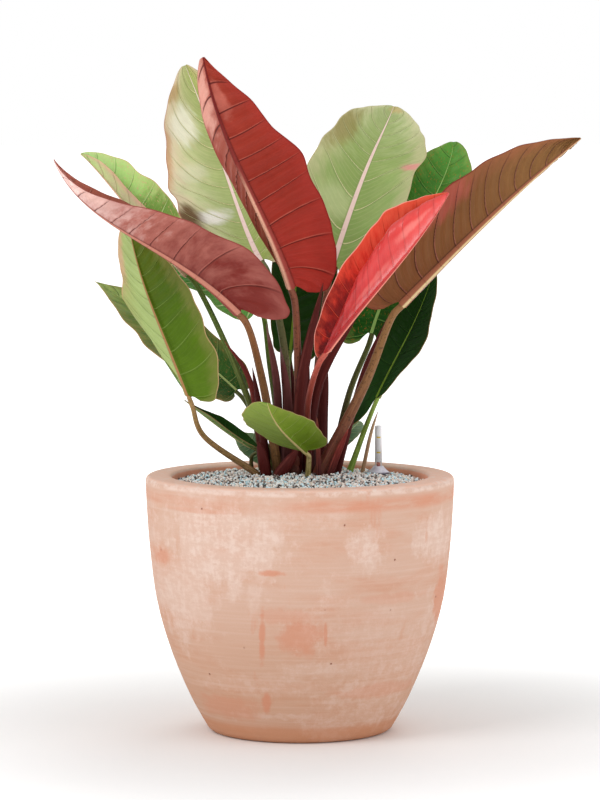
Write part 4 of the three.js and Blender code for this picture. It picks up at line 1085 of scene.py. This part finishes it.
def bladePoint(leaf, grid, i, j, columns, isUpper):
    row = grid[i]["points"]
    ahead = grid[min(i + 1, len(grid) - 1)]["points"][j] - grid[max(i - 1, 0)]["points"][j]
    across = row[min(j + 1, len(row) - 1)] - row[max(j - 1, 0)]
    normal = across.cross(ahead).normalized()
    reach = abs(j - columns) / columns
    outer = max(0, (reach - ribShare) / (1 - ribShare))
    inner = min(1, reach / ribShare / bladeShape["keelWide"])
    ends = min(1, bladeShape["footFade"] * i / len(grid))
    ends *= min(1, bladeShape["tipFade"] * (len(grid) - 1 - i) / len(grid))
    relief = veinRelief(leaf, grid[i]["share"], outer, int(j > columns)) * ends
    thick = bladeShape["thickness"] + (bladeShape["edgeThickness"] - bladeShape["thickness"]) * outer ** 2
    bulge = math.sqrt(max(0, 1 - inner * inner)) * grid[i]["rib"]
    if isUpper:
        return (row[j] + normal * (relief + thick / 2 + bladeShape["upperKeel"] * bulge)) * mm
    return (row[j] + normal * (relief - thick / 2 - bladeShape["keel"] * bulge)) * mm


for index, (name, leaf) in enumerate(leaves.items()):
    makeBlade(name, leaf, index)
print("blades are made")


# Leaf stalks
stem = {
    "foot": 233.3, "clearance": 1.5, "neckPerRib": 3.3, "dropPerRib": 0.6, "seat": 0.3, "into": 5,
    "rings": 60, "sides": 24, "taper": 0.8, "footFlare": 1.07, "topTaper": 0.35, "swell": 0.05,
    "swellAt": 0.95, "swellLong": 0.03, "ridges": ((5, 0.02), (11, 0.012)),
}
# Stalk looks: foot, top, sides, and specks whose colour also paints shade on the stalk's side away from the
# viewer, then where the foot's colour ends and the top's begins
stalkLooks = {
    "brownStem": ((82, 38, 30), (126, 72, 52), (146, 90, 70), (56, 30, 24), 0.1, 0.75),
    "ridgeStem": ((104, 46, 38), (136, 98, 58), (152, 112, 74), (78, 50, 32), 0.1, 0.75),
    "edgeStem": ((130, 104, 60), (146, 118, 70), (196, 140, 116), (90, 70, 38), 0.1, 0.75),
    "tanStem": ((110, 78, 44), (130, 84, 52), (150, 108, 70), (78, 50, 28), 0.1, 0.75),
    "oliveStem": ((110, 90, 56), (96, 100, 62), (150, 130, 84), (60, 60, 34), 0.1, 0.75),
    "darkStem": ((76, 56, 34), (84, 90, 44), (120, 116, 60), (44, 40, 22), 0.1, 0.75),
    "greenStem": ((84, 80, 40), (88, 112, 42), (160, 176, 100), (66, 76, 30), 0.1, 0.75),
    "limeStem": ((112, 140, 50), (130, 156, 66), (170, 186, 100), (80, 96, 36), 0.1, 0.75),
    "roseStem": ((60, 16, 14), (186, 88, 74), (140, 58, 48), (120, 40, 36), 0.35, 0.95),
    "creamStem": ((120, 106, 56), (190, 172, 116), (206, 190, 140), (110, 96, 54), 0.1, 0.75),
}


def stalkPaint(name, look, seed):
    paint = Paint(name, Roughness=0.4, Specular_IOR_Level=0.2)
    u, v, _ = paint.split(paint.uv())
    around = paint.maths("COSINE", (u - 0.75) * (2 * math.pi))  # 1 towards the viewer
    streak = paint.noise(paint.join(u * 9, v * 1.4, seed), 2.0, 3.0, 0.6)
    speck = paint.noise(paint.place(), 420.0, 2.0, 0.7)
    low, high, side, specksAndShade, lowTo, highFrom = look
    paint.base = paint.ramp(v + 0.3 * (streak - 0.5), [(lowTo, low), (highFrom, high)])
    paint.layer(0.5 * paint.step(streak, 0.45, 0.7), side)
    # Painted shade on the side of the stalk turned away from the viewer, in the speck colour
    paint.layer(0.35 * paint.step(around, 0.2, -0.9), specksAndShade)
    paint.layer(0.7 * paint.step(speck, 0.56, 0.66), specksAndShade)
    blot = paint.noise(paint.join(u * 6, v * 9, seed + 3), 2.0, 4.0, 0.7)
    paint.shade(0.6 + 0.8 * blot)
    relief = 0.6 * streak + 0.4 * speck
    return paint.finish(paint.clamp(0.36 + 0.2 * streak), relief, 0.0004)


# A line through the points that doesn't overshoot, cut into equal steps: [place, direction] pairs
def evenCurve(points, steps):
    points = [Vector(p) for p in points]
    ends = [2 * points[0] - points[1]] + points + [2 * points[-1] - points[-2]]
    track = []
    perSpan = 40
    for i in range(len(points) - 1):
        p0, p1, p2, p3 = ends[i:i + 4]
        t0, t1, t2 = ((q - p).length ** 0.5 for p, q in ((p0, p1), (p1, p2), (p2, p3)))
        m1 = ((p1 - p0) / t0 - (p2 - p0) / (t0 + t1) + (p2 - p1) / t1) * t1
        m2 = ((p2 - p1) / t1 - (p3 - p1) / (t1 + t2) + (p3 - p2) / t2) * t1
        for k in range(perSpan + (i == len(points) - 2)):
            s = k / perSpan
            cubic = (2 * p1 - 2 * p2 + m1 + m2) * s ** 3 + (-3 * p1 + 3 * p2 - 2 * m1 - m2) * s ** 2
            track.append(cubic + m1 * s + p1)
    reached = [0.0]
    for p, q in zip(track, track[1:]):
        reached.append(reached[-1] + (q - p).length)
    made = []
    index = 0
    for step in range(steps + 1):
        goal = reached[-1] * step / steps
        while index < len(track) - 2 and reached[index + 1] < goal:
            index += 1
        share = (goal - reached[index]) / max(1e-9, reached[index + 1] - reached[index])
        start, stop = track[index], track[index + 1]
        made.append([start.lerp(stop, share), (stop - start).normalized()])
    return made


# Rings up from the soil, upright at first: [place, direction, share of the free length]
def stemRings(foot, points, steps):
    soil = Vector((*foot, fillHeight(*foot) + stem["clearance"]))
    rings = [[Vector((*foot, stem["foot"])), Vector((0, 0, 1)), 0.0]]
    for i, (spot, direction) in enumerate(evenCurve([soil, *points], steps)):
        rings.append([spot, direction if i else Vector((0, 0, 1)), i / steps])
    return rings


# Skins the rings with a closed tube; the section gives (across, along) for a ring's share and an angle
def makeTube(name, rings, section, material, node):
    frames = []
    across = Vector((1, 0, 0))
    for spot, direction, share in rings:
        across = (across - across.dot(direction) * direction).normalized()
        frames.append((spot, across.copy(), direction.cross(across), share))
    rows = len(frames) + 1
    frames = [frames[0]] + frames + [frames[-1]]

    def rule(u, v):
        i = round(v * rows)
        spot, sideways, onward, share = frames[i]
        if i in (0, rows):
            return spot * mm
        wide, deep = section(share, 2 * math.pi * u)
        return (spot + sideways * wide + onward * deep) * mm

    bm = mappedGrid(stem["sides"], rows, rule, wrap=True)
    return addPiece(name, bm, [material], slotNames[node], node)


def ridged(ridges, angle, firstTurned, secondTurned):  # low ridges along a stem: (count, height) of each
    (firstCount, first), (secondCount, second) = ridges
    wave = first * math.sin(firstCount * angle + firstTurned)
    return 1 + wave + second * math.sin(secondCount * angle + secondTurned)


def makeStalk(name, leaf, seed):
    curve = RibCurve(leaf["midrib"])
    share, _, _ = outline(leaf, 0, curve.length, firstTurn)
    centre, tangent, up, _ = bladeFrame(leaf, curve, share)
    end = centre - stem["seat"] * tangent - stem["dropPerRib"] * leaf["rib"] * up
    neck = end - stem["neckPerRib"] * leaf["rib"] * tangent
    rings = stemRings(leaf["foot"], [leaf["via"], neck, end], stem["rings"])
    for extra in (0.5, 1.0):
        rings.append([end + stem["into"] * extra * tangent, tangent, 1 + extra])
    topRadius = leaf["rib"] - stem["seat"]

    def section(share, angle):
        reach = min(1, share)
        radius = leaf["radius"] + (topRadius - leaf["radius"]) * reach ** stem["taper"]
        radius *= stem["footFlare"] if reach < 0.02 else 1.0
        radius *= 1 - stem["topTaper"] * max(0, share - 1)
        radius *= 1 + stem["swell"] * math.exp(-((reach - stem["swellAt"]) / stem["swellLong"]) ** 2)
        radius *= ridged(stem["ridges"], angle, seed, 0)
        return radius * math.cos(angle), radius * math.sin(angle)

    material = stalkPaint(name + "Stalk", tinted(stalkLooks[leaf["stem"]]), seed)
    node = "petiole_" + nodeName(name)
    return makeTube(name + "Stalk", rings, section, material, node)


for index, (name, leaf) in enumerate(leaves.items()):
    makeStalk(name, leaf, index)
print("stalks are made")


# Sheaths and old stubs
sheathShape = {
    "rings": 46, "narrowing": 0.97, "narrowPower": 4, "groove": 0.22, "grooveAt": 4.3, "grooveWide": 0.5,
    "ridges": ((7, 0.03), (13, 0.02)), "ridgeTwist": 5,
}
# Foot, a point on the way, the pointed top, width and depth at the foot
sheaths = {
    "sheath_front_long": ((-4, -3), (2, -20, 357), (23, -62, 457), (12, 8)),
    "sheath_right_long": ((7, 9), (18, -4, 351), (65, -50, 440), (11, 8)),
    "sheath_mauve": ((-14, 5), (-13, 8, 335), (-20, 5, 389), (11, 7)),
    "sheath_back_left": ((-20, 34), (-23, 29, 325), (-27, 24, 372), (8, 6)),
    "sheath_back_mid": ((-5, 37), (-7, 38, 325), (-9, 40, 372), (9, 7)),
    "sheath_back_right": ((2, 28), (5, 26, 325), (9, 20, 376), (10, 8)),
    "sheath_brown": ((-24, 11), (-23, 4, 345), (-34, -14, 414), (9, 7)),
    "sheath_left": ((-33, 0), (-40, -6, 320), (-48, -14, 370), (8, 6)),
    "sheath_left_back": ((-37, 12), (-52, 0, 358), (-77, -8, 397), (7, 5)),
    "sheath_upright": ((22, 15), (23, 26, 317), (28, 26, 366), (12, 10)),
    "sheath_right": ((38, 8), (66, 14, 366), (88, 4, 418), (7, 5)),
    "stub": ((19, -20), (18, -18, 296), (17, -15, 320), (5, 4)),
    "base_sheath_left": ((-34, -14), (-38, -17, 280), (-42, -17, 296), (11, 8)),
    "base_sheath_front": ((-21, -23), (-12, -25, 274), (-2, -25, 288), (12, 8)),
    "base_wing": ((30, -17), (39, -17, 285), (49, -16, 308), (7, 4)),
    "dry_strip": ((64, 36), (73, 38, 300), (80, 36, 322), (4, 2.4)),
}
# Sheath looks: foot, middle, tip and stripes
sheathLooks = {
    "maroon": ((74, 14, 11), (80, 20, 17), (88, 40, 30), (116, 54, 46)),
    "mauve": ((80, 30, 28), (110, 56, 54), (146, 116, 112), (136, 88, 86)),
    "crimson": ((72, 22, 18), (114, 36, 30), (160, 74, 62), (150, 70, 58)),
    "rose_stem": ((74, 26, 22), (120, 52, 42), (150, 90, 70), (150, 84, 68)),
    "dry": ((196, 156, 122), (206, 168, 134), (150, 96, 62), (136, 82, 52)),
}


def sheathPaint(name, look, seed):
    paint = Paint(name, Roughness=0.5, Specular_IOR_Level=0.18)
    u, v, _ = paint.split(paint.uv())
    fibre = paint.noise(paint.join(u * 14, v * 1.2, seed), 2.2, 4.0, 0.65)
    blot = paint.noise(paint.place(), 90.0, 3.0, 0.6)
    low, high, tip, stripes = look
    tones = [(0.1, low), (0.6, high), (0.84, high), (1.0, tip)]
    paint.base = paint.ramp(v + 0.15 * (fibre - 0.5), tones)
    stripe = paint.step(abs(u - 0.62), 0.05, 0.015) * paint.step(blot, 0.35, 0.55)
    paint.layer(0.55 * stripe, stripes)
    paint.layer(0.4 * paint.step(fibre, 0.5, 0.75), stripes)
    paint.layer(0.45 * paint.step(fibre, 0.45, 0.25), low)
    return paint.finish(paint.clamp(0.42 + 0.3 * fibre), fibre, 0.0006)


def makeSheath(node, sheath, seed):
    foot, via, tip, (wide, deep) = sheath
    shape = sheathShape
    rings = stemRings(foot, [via, tip], shape["rings"])

    def section(share, angle):
        size = 1 - shape["narrowing"] * share ** shape["narrowPower"]
        hollow = math.exp(-((angle - shape["grooveAt"]) / shape["grooveWide"]) ** 2)
        size *= 1 - shape["groove"] * hollow * (1 - share)
        size *= ridged(shape["ridges"], angle, seed, shape["ridgeTwist"] * share) / 2
        return wide * size * math.cos(angle), deep * size * math.sin(angle)

    material = sheathPaint(node + "Paint", tinted(sheathLooks[slotNames[node]]), seed)
    return makeTube(node + "Fine", rings, section, material, node)


for index, (node, sheath) in enumerate(sheaths.items()):
    makeSheath(node, sheath, index)
print("sheaths are made")


# The old crown: a knobby stump
crown = {
    "foot": (-7, -15), "radius": 7, "footShare": 0.9, "top": 284, "knobs": ((0.22, 1.3), (0.7, 0.5)),
    "columns": 40, "rows": 60, "seed": 31,
}
crownLook = ((38, 14, 10), (84, 38, 28), (104, 62, 44), (140, 84, 62))
crownOutline = [(1, 0.2), (0.82, 0.4), (0.95, 0.6), (0.7, 0.85)]


def makeCrown(values):
    x, y = values["foot"]
    soil = fillHeight(x, y)
    rise = values["top"] - soil
    radius = values["radius"]
    below = radius * values["footShare"]
    profile = [(0, stem["foot"]), (below, stem["foot"]), (below, soil)]
    profile += [(radius * wide, soil + high * rise) for wide, high in crownOutline]
    profile.append((0, values["top"]))
    line = splinePoints(profile, values["rows"])

    def rule(u, v):
        spot = line[round(v * values["rows"])]
        angle = 2 * math.pi * u
        place = Vector((x + spot.x * math.cos(angle), y + spot.x * math.sin(angle), spot.y))
        bump = sum(height * noise.noise(place * scale) for scale, height in values["knobs"])
        spread = max(0, spot.x + min(spot.x, bump))
        return Vector((x + spread * math.cos(angle), y + spread * math.sin(angle), spot.y)) * mm

    bm = mappedGrid(values["columns"], values["rows"], rule, wrap=True)
    paint = sheathPaint("crownPaint", tinted(crownLook), values["seed"])
    return addPiece("crownStump", bm, [paint], slotNames["crown"], "crown")


makeCrown(crown)
print("crown is made")


# Water gauge
gauge = {
    "x": 80, "y": 25, "tube": 3.7, "wall": 0.9, "height": 41, "collar": 11.5, "collarHeight": 8,
    "collarBase": 258, "gap": 0.3, "clearBelow": 269.2, "marks": (280, 295.5), "markHeight": 0.9,
    "markWidth": 2.2, "floatShoulder": (266, 270), "turns": 48,
}
# The collar's outside as (inward, up) from its widest point
collarSlope = [(0.6, 0), (0, 0.6), (0, 1.6), (1.4, 2.6), (3.2, 4), (4.9, 5.8), (6, 7.2), (6.5, 8)]


def makeGauge(values):
    x, y = values["x"], values["y"]
    collarTop = values["collarBase"] + values["collarHeight"]
    base = collarTop + values["gap"]
    top = base + values["height"]
    tube, wall = values["tube"], values["wall"]
    bore = tube - wall
    roof = top - wall
    profile = [(0, roof), (bore - 0.2, roof), (bore, roof - 0.2), (bore, base), (tube, base)]
    profile += roundCorner((bore, roof), wall, 0, math.pi / 2) + [(0, top)]
    bm = turnedShape(profile, values["turns"], x, y)
    addPiece("gaugeTube", bm, [tubePaint(values)], "gauge_clear", "gauge_tube")

    reach = values["collar"]
    low = values["collarBase"]
    profile = [(bore, low)] + [(reach - inward, low + up) for inward, up in collarSlope]
    profile += [(bore, collarTop), (bore, low)]
    paint = Paint("collarPaint", Roughness=0.28)
    haze = paint.noise(paint.place(), 120.0, 2.0)
    paint.base = paint.ramp(haze, [(0.3, colour(186, 184, 200)), (0.7, colour(226, 224, 234))])
    # A dark band at the collar's foot: partly its darker bottom rim, partly painted shadow where it meets
    # the granulate
    foot = paint.step(paint.split(paint.place())[2], (low + 2.6) * mm, (low + 1.4) * mm)
    paint.layer(0.9 * foot, colour(92, 84, 100))
    collar = paint.finish(paint.clamp(0.2 + 0.2 * haze), haze, 0.0001)
    bm = turnedShape(profile, values["turns"], x, y)
    addPiece("gaugeCollar", bm, [collar], "gauge_grey", "gauge_collar")


def tubePaint(values):
    paint = Paint("tubePaint", Roughness=0.15, Specular_IOR_Level=0.6)
    x, y, z = paint.split(paint.place())
    front = paint.step(y, values["y"] * mm, (values["y"] - 1) * mm)
    span = abs(x - values["x"] * mm)
    mark = 0
    for level in values["marks"]:
        away = abs(z - level * mm)
        mark = mark + paint.step(away, values["markHeight"] * mm, 0.7 * values["markHeight"] * mm)
    mark = mark * front * paint.step(span, values["markWidth"] * mm, 0.9 * values["markWidth"] * mm)
    # The tube's left and right sides, lighter and more opaque: painted sheen where the wall is seen edge-on
    edge = paint.step(span, 0.55 * values["tube"] * mm, 0.95 * values["tube"] * mm)
    paint.base = paint.blend(0.6 * edge, colour(246, 246, 248), colour(252, 252, 253))
    paint.layer(mark, colour(226, 196, 70))
    cloudy = paint.step(z, values["clearBelow"] * mm, (values["clearBelow"] + 3) * mm)
    paint.feed(paint.shader.inputs["Alpha"], paint.clamp(0.08 + 0.82 * cloudy + 0.6 * edge + mark))
    return paint.finish()


def floatPaint(values):
    paint = Paint("floatPaint", Roughness=0.3)
    low, high = values["floatShoulder"]
    tone = paint.step(paint.split(paint.place())[2], low * mm, high * mm)
    paint.base = paint.blend(tone, colour(150, 12, 22), colour(212, 100, 24))
    return paint.finish(paint.clamp(0.25 + 0.1 * tone))


makeGauge(gauge)
for node, material in (
    ("gauge_float", floatPaint(gauge)),
    ("gauge_stem", bpy.data.materials["collarPaint"]),
    ("substrate", soilPaint("soilPaint", colour(16, 12, 10), colour(52, 38, 28))),
    ("topping", soilPaint("bedPaint", colour(20, 14, 12), colour(84, 70, 64))),
):
    frame["nodes"][node].data.materials.clear()
    frame["nodes"][node].data.materials.append(material)
print("gauge is made")

keepClear = [(*leaf["foot"], leaf["radius"]) for leaf in leaves.values()]
keepClear += [(*foot, size[0] / 2) for foot, _, _, size in sheaths.values()]
keepClear += [(*crown["foot"], crown["radius"]), (gauge["x"], gauge["y"], gauge["collar"] - 1)]
makeGrains(fill, keepClear)
print("granulate is made")
